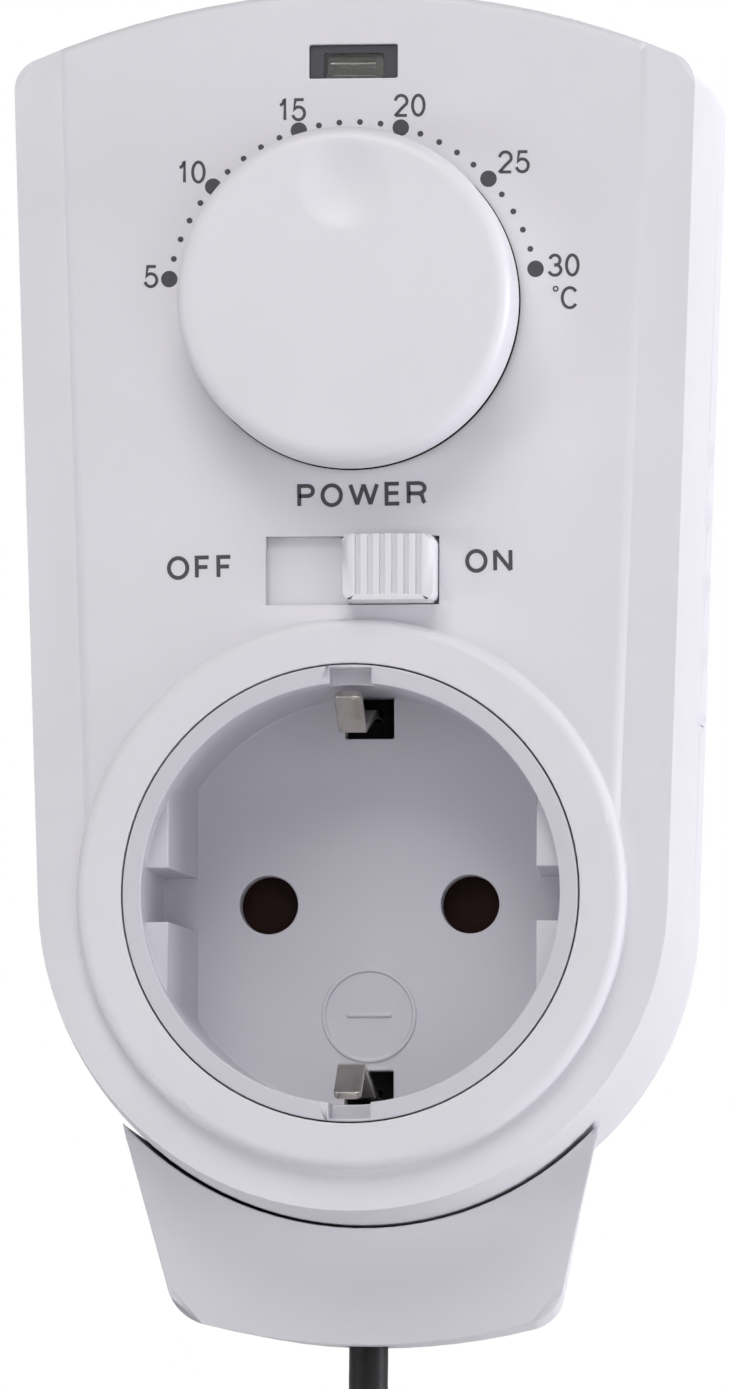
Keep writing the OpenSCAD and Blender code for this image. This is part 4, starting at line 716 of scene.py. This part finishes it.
class CONTROLLER_OT_stage(bpy.types.Operator):
    """Sets up the camera, the floor, the world and the lamps"""

    bl_idname = "controller.stage"
    bl_label = "Stage"

    # Each lamp's name, side in metres, power in watts, place and tint
    LAMPS = (("Overhead softbox", 0.9, 11.8, (-0.1, -1.15, 1.1), "#fffdf8"),
             ("Left softbox", 0.7, 8.2, (-1.1, -0.78, -0.34), "#f7f8ff"),
             ("Right softbox", 0.6, 10.5, (1.25, -0.1, 0.0), "#f9f9ff"),
             ("Front fill", 0.8, 3.4, (0.75, -1.45, -0.05), "#f6f6ff"),
             ("Back softbox", 0.8, 9.0, (0.35, 1.3, 0.75), "#fbfbff"))
    LAMP_TARGET = (0, -0.05, 0.02)
    EYE, EYE_TARGET, EYE_ROLL = (0.1266, -1.2501, -0.0771), (0.00118, -0.0585, 0.01851), 0.12
    FOCAL_MM, SENSOR_MM = 335.8, 36
    FLOOR_HALF, FLOOR_Z = 2.5, -0.25
    FADE = (0.35, 1.3)       # how far from the object the floor begins and ends to turn white

    def execute(self, context):
        look = context.scene.controller_colours
        make_materials(look)
        view = bpy.data.cameras.new("Camera")
        view.lens = self.FOCAL_MM
        view.sensor_fit = "VERTICAL"
        view.sensor_height = view.sensor_width = self.SENSOR_MM
        view.clip_start, view.clip_end = 0.05, 20
        context.scene.camera = self.stand(view, self.EYE, self.EYE_TARGET, self.EYE_ROLL)
        context.scene.view_settings.view_transform = "Standard"
        context.scene.world = self.world()
        self.ground(look)
        for name, size, power, place, tint in self.LAMPS:
            light = bpy.data.lights.new(name, "AREA")
            light.shape = "SQUARE"
            light.size = size
            light.energy = power
            light.color = linear(tint)[:3]
            self.stand(light, place, self.LAMP_TARGET)
        return {"FINISHED"}

    def stand(self, data, place, target, roll=0.0):
        """Puts the camera or a lamp in its place and turns it to its target."""
        thing = bpy.data.objects.new(data.name, data)
        bpy.context.scene.collection.objects.link(thing)
        thing.location = place
        thing.rotation_mode = "QUATERNION"
        way = (Vector(target) - thing.location).to_track_quat("-Z", "Y")
        thing.rotation_quaternion = way @ Quaternion((0, 0, 1), radians(roll))
        return thing

    def world(self):
        """Soft light from all round, and white wherever the camera or a reflection looks."""
        world = bpy.data.worlds.new("Studio")
        world.use_nodes = True
        tree = world.node_tree
        tree.nodes.clear()
        path = tree.nodes.new("ShaderNodeLightPath").outputs
        seen = path["Is Camera Ray"]
        for ray in ("Is Glossy Ray", "Is Transmission Ray"):
            seen = add_node(tree, "ShaderNodeMath", {0: seen, 1: path[ray]}, operation="MAXIMUM")
        soft, white = (add_node(tree, "ShaderNodeBackground", {
            "Color": linear(code), "Strength": strength})
            for code, strength in (("#eeeef6", 0.17), ("#ffffff", 1.0)))
        mix = add_node(tree, "ShaderNodeMixShader", {0: seen, 1: soft, 2: white})
        add_node(tree, "ShaderNodeOutputWorld", {"Surface": mix})
        return world

    def ground(self, look):
        """A pale floor that takes a faint shadow, and turns white away from the object."""
        half, low = self.FLOOR_HALF, self.FLOOR_Z
        mesh = bpy.data.meshes.new("Floor")
        mesh.from_pydata([(-half, -half, low), (half, -half, low), (half, half, low),
                          (-half, half, low)], [], [(0, 1, 2, 3)])
        # Matt paper: most of its paleness is given to the camera, the rest takes the shadow
        material, tree, place = blank_material("Studio floor")
        tone = add_node(tree, "ShaderNodeMapRange", {
            "Value": patches(tree, place, 400), "From Min": FAINTEST, "From Max": STRONGEST,
            "To Min": 0.995, "To Max": 1.005})
        tone = add_node(tree, "ShaderNodeHueSaturation", {"Color": look.floor, "Value": tone})
        matt = add_node(tree, "ShaderNodeBsdfPrincipled", {"Base Color": tone, "Roughness": 0.9})
        pale = add_node(tree, "ShaderNodeEmission", {"Color": look.floor, "Strength": 1.0})
        seen = add_node(tree, "ShaderNodeLightPath", output="Is Camera Ray")
        away = add_node(tree, "ShaderNodeVectorMath", {0: place}, "Value", operation="LENGTH")
        near, far = self.FADE
        share = add_node(tree, "ShaderNodeMapRange", {
            "Value": away, "From Min": near, "From Max": far, "To Min": 0.7, "To Max": 1.0},
            interpolation_type="SMOOTHSTEP")
        part = add_node(tree, "ShaderNodeMath", {0: seen, 1: share}, operation="MULTIPLY")
        shader = add_node(tree, "ShaderNodeMixShader", {0: part, 1: matt, 2: pale})
        add_node(tree, "ShaderNodeOutputMaterial", {"Surface": shader})
        link("Floor", mesh, material)


class CONTROLLER_OT_lead(bpy.types.Operator):
    """Makes the probe's lead with its coil, tie, sleeve and probe"""

    bl_idname = "controller.lead"
    bl_label = "Probe lead"

    # Radius and distance below the lead's end, in millimetres
    SLEEVE = [(0, 0.2), (1.6, 0.2), (2.05, 0), (2.3, 0.35), (2.55, 2), (2.35, 2.3), (2.35, 2.9),
              (2.68, 3.2), (2.75, 4.6), (2.52, 4.9), (2.52, 5.5), (2.88, 5.8), (2.95, 7.2),
              (2.72, 7.5), (2.72, 8.1), (3.08, 8.4), (3.15, 11.3), (2.95, 11.8), (2.75, 12),
              (0, 12)]
    PROBE = [(0, 11.6), (2.62, 11.6), (2.7, 11.8), (2.7, 16), (2.62, 16.15), (2.48, 16.5),
             (2.48, 17), (2.62, 17.35), (2.7, 17.5), (2.7, 31.3),
             *arc_points((0, 31.3), 2.7, 10, 90, 8)]
    TIE_THICK, TIE_CORNER, TIE_EASE = 0.9 * MM, 2.4 * MM, 0.2 * MM
    # The tie's head: its size in millimetres, how far its middle stands out, and its rounding
    HEAD, HEAD_OUT, HEAD_EDGE = (5.2, 2.8, 5), 1.1 * MM, 0.5 * MM

    def execute(self, context):
        sizes = context.scene.controller_sizes
        route = lead_route()
        lead = grown("probe_lead", sweep_tree(), {
            "Radius": sizes.lead_d / 2, "Sides": sizes.lead_sides,
            "Material": MATERIALS["jacket"]}, route)
        shaded(lead, 50)
        place_piece(lead, "housing", ["probe_cord", "cord_coil", "probe_tail"])
        down = Vector((0, 0, -1))
        sleeve = turned("lead_sleeve", self.SLEEVE, route[-1], down, 48, MATERIALS["jacket"], 38)
        tip = turned("probe_tube", self.PROBE, route[-1], down, 48, MATERIALS["stainless"], 38)
        tie = self.tie()
        place_piece(sleeve, "housing", ["probe_sleeve"])
        place_piece(tip, "housing", ["probe_tip"])
        place_piece(tie, "housing", ["cord_tie"])
        return {"FINISHED"}

    def tie(self):
        """A flat strap round the coil's left side, with its locking head in front."""
        low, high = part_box("cord_tie")
        middle = (low + high) / 2
        wide, deep, half = (high - low) / 2
        thick, ease = self.TIE_THICK, self.TIE_EASE
        loops = []
        for inset, z in ((0, ease - half), (0, half - ease), (ease, half), (thick - ease, half),
                         (thick, half - ease), (thick, ease - half), (thick - ease, -half),
                         (ease, -half)):
            loops.append([(middle.x + x, middle.y + y, middle.z + z) for x, y in eased_oblong(
                wide - inset, deep - inset, self.TIE_CORNER - inset, 8)])
        rings = [*zip(*loops)]
        tie = ringed("lead_tie", [*rings, rings[0]], MATERIALS["tie"], closed=False)
        form = bmesh.new()
        form.from_mesh(tie.data)
        add_block(form, self.HEAD, (middle.x, low.y - self.HEAD_OUT, middle.z))
        form.to_mesh(tie.data)
        form.free()
        edge = tie.modifiers.new("Edges", "BEVEL")
        edge.width = self.HEAD_EDGE
        edge.segments = 3
        edge.angle_limit = radians(60)
        return shaded(made_plain(tie), 40)


class CONTROLLER_OT_housing(bpy.types.Operator):
    """Gives the covers, the plug's body and the socket insert their rounded edges and finish"""

    bl_idname = "controller.housing"
    bl_label = "Housing"

    BASE_R, SIDE_LEAN = 30.4 * MM, radians(1.9)
    RIB_HIGH, SUNK = 1.0 * MM, 0.005 * MM    # the most a rib stands out; how deep its end goes
    # Where the ribs end, how far that is from the wall's crown, and the crown's radius
    GRIPS = {"front_cover": (-43.0 * MM, 2.5 * MM, 147.8 * MM),
             "rear_cover": (-32.5 * MM, 8.0 * MM, 177.1 * MM)}
    # Each black plate of painted shade: its faces, and its plate and hole as lowest and highest x
    # and z, in millimetres
    SHIELD_Y, PLATE, HOLE = (-39.97, -39.6), (-2.9, 2.9, 15.1, 20.2), (-2.0, 1.0, 17.35, 18.45)

    def execute(self, context):
        width = context.scene.controller_sizes.edge
        for node, name, share, finish in (("front_cover", "front_shell", 1.0, "housing"),
                                          ("rear_cover", "rear_shell", 1.0, "housing"),
                                          ("plug_body", "plug_shell", 1.2, "housing"),
                                          ("socket_insert", "socket_cup", 0.9, "cup")):
            piece = rounded_copy(node, name, share * width, MATERIALS[finish],
                                 lambda form: self.ease_grips(form, node))
            place_piece(piece, "housing", [node])
        # Black plates behind the clips' windows: painted shade
        place_piece(self.shade_plates(), "housing")
        return {"FINISHED"}

    def ease_grips(self, form, node):
        """Moves the end points of a cover's ribs to its wall, so that they run out into it."""
        if node not in self.GRIPS:
            return
        end_y, depth, crown_r = self.GRIPS[node]
        drawn_in = crown_r - sqrt(crown_r ** 2 - depth ** 2)
        for vertex in form.verts:
            if abs(vertex.co.y - end_y) < NEAR:
                wall = ((self.BASE_R - drawn_in) / cos(self.SIDE_LEAN)
                        + vertex.co.z * tan(self.SIDE_LEAN))
                if wall < abs(vertex.co.x) < wall + self.RIB_HIGH:
                    vertex.co.x = (wall - self.SUNK) * (1 if vertex.co.x > 0 else -1)

    def shade_plates(self):
        """Thin black plates behind the clips' windows, with holes for the clips' legs: painted
        shade that darkens the windows.
        """
        back, front = self.SHIELD_Y
        plates = []
        for way in (1, -1):
            rings = []
            for y, (x1, x2, z1, z2) in ((back, self.PLATE), (front, self.PLATE),
                                        (front, self.HOLE), (back, self.HOLE),
                                        (back, self.PLATE)):
                rings.append([(x * MM, y * MM, way * z * MM)
                              for x, z in ((x1, z1), (x2, z1), (x2, z2), (x1, z2))])
            plates.append(ringed("window_shields", rings, MATERIALS["shade_black"], closed=False))
        form = bmesh.new()
        for plate in plates:
            form.from_mesh(plate.data)
        form.to_mesh(plates[0].data)
        form.free()
        bpy.data.objects.remove(plates[1])
        return plates[0]


class CONTROLLER_OT_knob(bpy.types.Operator):
    """Makes the temperature knob with its finger dimple, and a black ring under it for painted
    shade
    """

    bl_idname = "controller.knob"
    bl_label = "Temperature knob"

    # In millimetres: the gap under the knob, its rim's radius, its wall and the edges' bevel
    GAP, RIM, WALL, BEVEL = 0.4, 1.4, 1.8, 0.25
    # The boss inside it, as radius and height above the gap
    BOSS = [(4.8, -1.05), (4.65, -1.2), (3.2, -1.2), (3.05, -1.05), (3.05, 5.4), (0, 5.4)]
    # The black ring of painted shade in the knob's gap, as radius and height above the gap
    SHADE_RING = [(15.68, -0.06), (15.68, -0.4), (13.0, -0.4), (13.0, -0.06), (15.68, -0.06)]
    DIMPLE_AT, DIMPLE_R, DIMPLE_FORM = 10.1 * MM, 4.25 * MM, 1.35
    TOP_RINGS = 44           # rings of points on the knob's top, close enough for the dimple

    def execute(self, context):
        sizes = context.scene.controller_sizes
        reach, high = sizes.knob_r / MM, sizes.knob_h / MM
        flat, roof = reach - self.RIM, high - self.WALL
        profile = [(flat * i / self.TOP_RINGS, high) for i in range(self.TOP_RINGS + 1)]
        profile += arc_points((flat, high - self.RIM), self.RIM, 90, 0, 8)[1:]
        profile += [(reach, h) for h in (5, 3, 1, self.BEVEL)]
        profile += [(reach - self.BEVEL, 0), (reach - self.WALL + self.BEVEL, 0),
                    (reach - self.WALL, self.BEVEL), (reach - self.WALL, roof),
                    (self.BOSS[0][0], roof), *self.BOSS]
        centre = Vector((0, FACE_Y - self.GAP * MM, sizes.knob_z))
        knob = turned("control_knob", profile, centre, OUT, 240, MATERIALS["handled"], 40)
        dimple = centre + Vector((0, -sizes.knob_h, self.DIMPLE_AT))
        for vertex in knob.data.vertices:
            off = vertex.co - dimple
            share = sqrt(off.x ** 2 + off.z ** 2) / self.DIMPLE_R
            if share < 1 and off.y < NEAR:
                vertex.co.y += sizes.dimple_depth * (1 - share ** 2) ** self.DIMPLE_FORM
        shaded(knob, 40)
        place_piece(knob, "knob", ["temperature_knob"])
        # Painted shade: a black ring in the gap, clear of the knob, draws the dark line of shade
        # under the knob's rim
        shade_ring = turned("knob_washer", self.SHADE_RING, centre, OUT, 240, MATERIALS["shade_black"], 30)
        place_piece(shade_ring, "housing")
        return {"FINISHED"}


class CONTROLLER_OT_slider(bpy.types.Operator):
    """Gives the power switch's slider its rounded grooves and finish"""

    bl_idname = "controller.slider"
    bl_label = "Power slider"

    def execute(self, context):
        width = 0.75 * context.scene.controller_sizes.edge
        piece = rounded_copy("switch_slider", "power_slider", width, MATERIALS["handled"])
        place_piece(piece, "slider", ["switch_slider"])
        return {"FINISHED"}


class CONTROLLER_OT_marks(bpy.types.Operator):
    """Prints the dial's dots and numbers and the switch's words"""

    bl_idname = "controller.marks"
    bl_label = "Printed marks"

    # Each label's text and the x and z of its middle, in millimetres
    NUMBERS = (("5", -18.9, 57.7), ("10", -15.1, 67.45), ("15", -5.7, 73.2), ("20", 5.3, 73.5),
               ("25", 15.05, 68.1), ("30", 19.7, 58.4), ("C", 20.25, 55.35))
    WORDS = (("POWER", 0.9, 37.15), ("OFF", -14.25, 30.45), ("ON", 12.75, 30.9))
    WORD_H, WORD_TILT, WORD_GAP = 2.22, 1.0, 0.52
    # Digits stand at even steps; a narrow one has this share of its spare room before it
    DIGIT_STEP, DIGIT_W, SPARE_BEFORE = 1.6, 1.36, 0.6
    PEN, WORD_PEN, RING_PEN = 0.28, 1.3 * 0.28, 0.14
    OVERLAY = 0.04           # share by which each stroke is thicker than the one before it
    RING = (18.95, 56.2, 0.21)       # the degree sign's middle and radius
    INK = 0.03 * MM
    DEGREES, GROUP, SCALE_TURN = 26, 5, radians(1.05)

    def execute(self, context):
        sizes = context.scene.controller_sizes
        start = radians(90) + (self.DEGREES - 1) / 2 * sizes.degree + self.SCALE_TURN
        dots = grown("scale_dots", dots_tree(), {
            "Count": self.DEGREES, "Group": self.GROUP, "Start": start, "Step": -sizes.degree,
            "Reach": sizes.dial_r, "Centre": (0.0, FACE_Y, sizes.dial_z),
            "Small": sizes.small_dot, "Large": sizes.large_dot, "Thickness": self.INK,
            "Material": MATERIALS["ink"]})
        place_piece(dots, "housing")
        form = bmesh.new()
        for text, x, z in self.NUMBERS:
            self.write(form, text, x, z, sizes.digit_h / MM, 0.0, self.PEN)
        for text, x, z in self.WORDS:
            self.write(form, text, x, z, self.WORD_H, self.WORD_TILT, self.WORD_PEN)
        x, z, radius = self.RING
        self.stroke(form, bow(x, z, radius, radius, 0, 360), self.RING_PEN, self.INK)
        mesh = mesh_of("scale_numbers", form)
        outward(mesh)
        place_piece(link("scale_numbers", mesh, MATERIALS["ink"]), "housing")
        return {"FINISHED"}

    def write(self, form, text, x, z, height, tilt, pen):
        """Writes a line of plain type on the face, its middle at x and z."""
        places, along = [], 0.0
        for letter in text:
            wide, lines = TYPE[letter]
            if letter.isdigit():
                spare = self.DIGIT_W - wide
                along = self.DIGIT_STEP * len(places) + spare * self.SPARE_BEFORE
            places.append((along, wide, lines))
            along += wide + self.WORD_GAP
        middle = (places[0][0] + places[-1][0] + places[-1][1]) / 2
        lean = Vector((cos(radians(tilt)), sin(radians(tilt))))
        for indent, wide, lines in places:
            for k, line in enumerate(lines):
                spots = []
                for u, v in line:
                    across = indent - middle + pen / 2 + u * (wide - pen)
                    up = (v - 0.5) * (height - pen)
                    spots.append((x + across * lean.x - up * lean.y,
                                  z + across * lean.y + up * lean.x))
                # The faces of crossing strokes must not coincide
                self.stroke(form, spots, pen, self.INK * (1 + self.OVERLAY * k))

    def stroke(self, form, spots, pen, thick):
        """Adds one pen stroke, a thin bar that follows its points."""
        spots = [Vector(spot) for spot in spots]
        loop = (spots[0] - spots[-1]).length < 0.01
        first, last = (spots[-2], spots[1]) if loop else (spots[0], spots[-1])
        rings = []
        for before, spot, after in zip([first, *spots], spots, [*spots[1:], last]):
            ways = [way.normalized() for way in (spot - before, after - spot) if way.length > 0]
            way = sum(ways, Vector((0, 0))).normalized()
            out = Vector((-way.y, way.x)) * pen / 2 / max(0.7, way.dot(ways[0]))
            top = FACE_Y - thick
            rings.append([form.verts.new(((spot.x + k * out.x) * MM, y, (spot.y + k * out.y) * MM))
                          for k, y in ((1, FACE_Y), (1, top), (-1, top), (-1, FACE_Y))])
        for one, two in zip(rings, rings[1:]):
            for k in range(4):
                form.faces.new((one[k], one[(k + 1) % 4], two[(k + 1) % 4], two[k]))
        if not loop:
            form.faces.new(rings[0])
            form.faces.new(rings[-1][::-1])


class CONTROLLER_OT_indicator(bpy.types.Operator):
    """Makes the smoked window and the small lamp behind it"""

    bl_idname = "controller.indicator"
    bl_label = "Indicator"

    # The border: its flange behind the face, its corners, its bevel and its opening's flare
    LAP, FLANGE, LAP_EASE, EASE, BEVEL = 1.0 * MM, 0.8 * MM, 0.2 * MM, 0.15 * MM, 0.12 * MM
    FLARE_W, FLARE_H, FLARE_Y = 0.1 * MM, 0.05 * MM, 0.25 * MM
    # The pane: half its width and height, its corners, its place in the border
    PANE_W, PANE_H, PANE_EASE = 2.75 * MM, 1.15 * MM, 0.3 * MM
    PANE_RISE, PANE_BACK = 0.1 * MM, 0.3 * MM
    # The lamp, in millimetres: its axis, radius and half length, and its ends' roundings
    LAMP_Y, LAMP_Z, LAMP_R, LAMP_HALF, LAMP_ENDS = -53.5, 77.7, 1.15, 2.8, (1.0, 0.7)
    SEAL_R, SEAL_HIGH = 0.3, 0.02            # the low cone at its sealed end
    # Each electrode's name, height above the axis and radius, and the points of its length
    ELECTRODES = (("lamp_electrode_low", -0.62, 0.12), ("lamp_electrode_high", 0.22, 0.34))
    ELECTRODE_X = (-2.5, -1.8, -1, 0, 1, 1.7)

    def execute(self, context):
        low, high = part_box("indicator_lens")
        middle, lap, bevel, ease = (low + high) / 2, self.LAP, self.BEVEL, self.PANE_EASE
        wide, tall = (high.x - low.x) / 2 - lap, (high.z - low.z) / 2 - lap
        pane_w, pane_h = self.PANE_W, self.PANE_H
        pane_z = middle.z - tall + pane_h + self.PANE_RISE
        step = high.y - self.FLANGE
        # Each ring's y, half width, half height and ease: round the border, then its opening
        border = [self.oblong(middle.x, middle.z, *ring) for ring in (
            (high.y, wide + lap, tall + lap, self.LAP_EASE),
            (step, wide + lap, tall + lap, self.LAP_EASE), (step, wide, tall, self.EASE),
            (low.y + bevel, wide, tall, self.EASE), (low.y, wide - bevel, tall - bevel, bevel))]
        border += [self.oblong(middle.x, pane_z, *ring) for ring in (
            (low.y, pane_w + self.FLARE_W, pane_h + self.FLARE_H, ease),
            (low.y + self.FLARE_Y, pane_w, pane_h, ease), (high.y, pane_w, pane_h, ease))]
        border = ringed("window_border", [*border, border[0]], MATERIALS["frame"], closed=False)
        place_piece(shaded(border, 30), "housing", ["indicator_lens"])
        pane = ringed("window_pane", [
            self.oblong(middle.x, pane_z, y, pane_w, pane_h, ease)
            for y in (high.y, low.y + self.PANE_BACK)], MATERIALS["lens"])
        place_piece(shaded(pane, 30), "housing", ["indicator_lens"])
        self.lamp()
        return {"FINISHED"}

    def oblong(self, x, z, y, wide, tall, ease):
        """A ring of points round an oblong with eased corners, wide and tall from its middle."""
        return [(x + u, y, z + v) for u, v in eased_oblong(wide, tall, ease, 4)]

    def lamp(self):
        """A glass tube with one thick and one thin electrode."""
        half, (left, right) = self.LAMP_HALF, self.LAMP_ENDS
        tube = [(self.LAMP_R * sin(radians(a)), 1 - cos(radians(a))) for a in range(15, 91, 15)]
        profile = [(0, -half), *((radius, left * share - half) for radius, share in tube)]
        profile += [(radius, half - right * share) for radius, share in reversed(tube)]
        profile += [(self.SEAL_R, half - self.SEAL_HIGH), (0, half)]
        centre = Vector((0, self.LAMP_Y, self.LAMP_Z)) * MM
        glass = turned("lamp_envelope", profile, centre, Vector((1, 0, 0)), 32,
                       MATERIALS["glass"])
        place_piece(glass, "housing", ["indicator_lamp"])
        tree = sweep_tree()
        for name, rise, thick in self.ELECTRODES:
            line = [(x * MM, centre.y, centre.z + rise * MM) for x in self.ELECTRODE_X]
            rod = grown(name, tree, {
                "Radius": thick * MM, "Sides": 16, "Material": MATERIALS["nickel"]}, line)
            place_piece(shaded(rod), "housing")


class CONTROLLER_OT_metal(bpy.types.Operator):
    """Bends the earth clips of the socket and of the plug"""

    bl_idname = "controller.metal"
    bl_label = "Earth clips"

    THICK, TIP = 0.7 * MM, 0.6 * MM
    # Half of each strip's line as y and z in millimetres, without its run along the back
    CLIP = [(-57.2, 18.7), (-53.0, 15.7), (-43.5, 17.9)]
    STRAP = [(-1.8, 17.35), (-4.6, 17.55), (-7.9, 17.8), (-11.2, 17.6), (-17.5, 17.35)]

    def execute(self, context):
        low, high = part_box("earth_bracket")
        line = self.line(self.CLIP, high.y - self.THICK / 2, 0.9 * MM, 7)
        line = [*self.tip_steps(line[0], line[1]), *line[1:-1],
                *reversed(self.tip_steps(line[-1], line[-2]))]
        clip = bent_metal("socket_earth_clips", line, (low.x + high.x) / 2, high.x - low.x,
                          self.THICK, self.TIP)
        place_piece(clip, "housing", ["earth_bracket"])
        low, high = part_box("plug_earth_strap")
        line = self.line(self.STRAP, low.y + self.THICK / 2, 0.6 * MM, 6)
        strap = bent_metal("plug_earth_contacts", line, 0.0, high.x - low.x, self.THICK)
        place_piece(strap, "housing", ["plug_earth_strap"])
        return {"FINISHED"}

    def line(self, half, back, corner, steps):
        """The rounded line of a strip that is the same above and below, in metres."""
        half = [*half, (back / MM, half[-1][1])]
        half += [(y, -z) for y, z in reversed(half)]
        return filleted([(y * MM, z * MM) for y, z in half], corner, steps)

    def tip_steps(self, end, after):
        """Close points at a strip's end, so that its corners can be rounded."""
        way = (after - end).normalized()
        return [end + way * reach * MM for reach in (0.0, 0.04, 0.1, 0.18, 0.3, 0.45, 0.6)]


class CONTROLLER_OT_screws(bpy.types.Operator):
    """Sets the four screws that hold the covers together"""

    bl_idname = "controller.screws"
    bl_label = "Housing screws"

    # Millimetres: the screws' x and z, the head's outline, the thread and the recess's arms
    PLACES = ((24.4, 70.5), (-24.4, 70.5), (17.7, -17.7), (-17.7, -17.7))
    HEAD = [(0, 0), (1.9, 0), (2.45, 0.25), (2.7, 0.75), (2.7, 1.75), (2.6, 1.9), (1.45, 1.9)]
    CORE_R, THREAD_R, PITCH, THREAD_AT, POINT = 1.1, 1.45, 0.9, 2.3, 1.1
    CROSS = (3.1, 2.2, 0.75)

    def execute(self, context):
        low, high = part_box("housing_screws")
        long = (high.y - low.y) / MM
        profile = list(self.HEAD)
        for i in range(int((long - self.THREAD_AT - self.POINT) / self.PITCH)):
            start = self.THREAD_AT + self.PITCH * i
            profile += [(self.CORE_R, start), (self.THREAD_R, start + self.PITCH / 2)]
        profile += [(self.CORE_R, long - self.POINT), (0, long)]
        screw = turned("screw_form", profile, Vector((0, 0, 0)), OUT, 32, MATERIALS["zinc"])
        form = bmesh.new()
        for turn in (0, 90):
            add_block(form, self.CROSS, turn=turn)
        cutter = link("cross", mesh_of("cross", form))
        cut = screw.modifiers.new("Recess", "BOOLEAN")
        cut.operation = "DIFFERENCE"
        cut.object = cutter
        cut.use_self = True
        made_plain(screw)
        bpy.data.objects.remove(cutter)
        points = [(x * MM, high.y, z * MM) for x, z in self.PLACES]
        row = grown("cover_screws", screws_tree(), {
            "Screw": screw, "Material": MATERIALS["zinc"]}, points)
        bpy.data.objects.remove(screw)
        place_piece(shaded(row, 30), "housing", ["housing_screws"])
        return {"FINISHED"}


class CONTROLLER_OT_inside(bpy.types.Operator):
    """Gives every CAD part that stays its own finish"""

    bl_idname = "controller.inside"
    bl_label = "Inner parts"

    FINISHES = {
        "shutter": ("shutter",),
        "insulator": ("contact_carrier", "pin_carrier", "cord_clamp"),
        "nickel": ("earth_rivet", "plug_pin_live", "plug_pin_neutral"),
        "zinc": ("shutter_spring", "control_shaft", "clamp_screws", "board_screws",
                 "carrier_screws"),
        "brass": ("live_contact", "neutral_contact", "live_busbar", "neutral_busbar"),
        "phenolic": ("potentiometer_body", "slide_switch_body", "switch_lever", "control_chip",
                     "rectifier_diodes", "fuse"),
        "nylon": ("probe_header", "probe_plug", "lamp_holder"),
        "board": ("circuit_board",),
        "relay": ("relay",),
        "film": ("dropper_capacitor",),
        "sleeve": ("smoothing_capacitors",),
        "varistor": ("surge_varistor",),
        "resistor": ("resistors",),
        "brown": ("live_wire",),
        "blue": ("neutral_wire",),
        "black": ("switched_wire", "probe_conductors"),
    }

    def execute(self, context):
        for finish, nodes in self.FINISHES.items():
            for name in nodes:
                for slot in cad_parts[name].material_slots:
                    slot.material = MATERIALS[finish]
        return {"FINISHED"}


class CONTROLLER_PT_panel(bpy.types.Panel):
    """Lists the steps in the order in which they run"""

    bl_label = "Temperature controller"
    bl_idname = "CONTROLLER_PT_panel"
    bl_space_type = "VIEW_3D"
    bl_region_type = "UI"
    bl_category = "Controller"

    def draw(self, context):
        for group in (context.scene.controller_colours, context.scene.controller_sizes):
            box = self.layout.box()
            for name in group.__annotations__:
                box.prop(group, name)
        for step in STEPS:
            self.layout.operator(step.bl_idname)


STEPS = (CONTROLLER_OT_stage, CONTROLLER_OT_lead, CONTROLLER_OT_housing, CONTROLLER_OT_knob,
         CONTROLLER_OT_slider, CONTROLLER_OT_marks, CONTROLLER_OT_indicator, CONTROLLER_OT_metal,
         CONTROLLER_OT_screws, CONTROLLER_OT_inside)
CLASSES = (ControllerColours, ControllerSizes, *STEPS, CONTROLLER_PT_panel)


def register():
    for kind in CLASSES:
        bpy.utils.register_class(kind)
    bpy.types.Scene.controller_colours = PointerProperty(type=ControllerColours)
    bpy.types.Scene.controller_sizes = PointerProperty(type=ControllerSizes)


def unregister():
    del bpy.types.Scene.controller_sizes
    del bpy.types.Scene.controller_colours
    for kind in reversed(CLASSES):
        bpy.utils.unregister_class(kind)


def main():
    register()
    for step in STEPS:
        group, name = step.bl_idname.split(".")
        getattr(getattr(bpy.ops, group), name)()


if __name__ == "__main__":
    main()
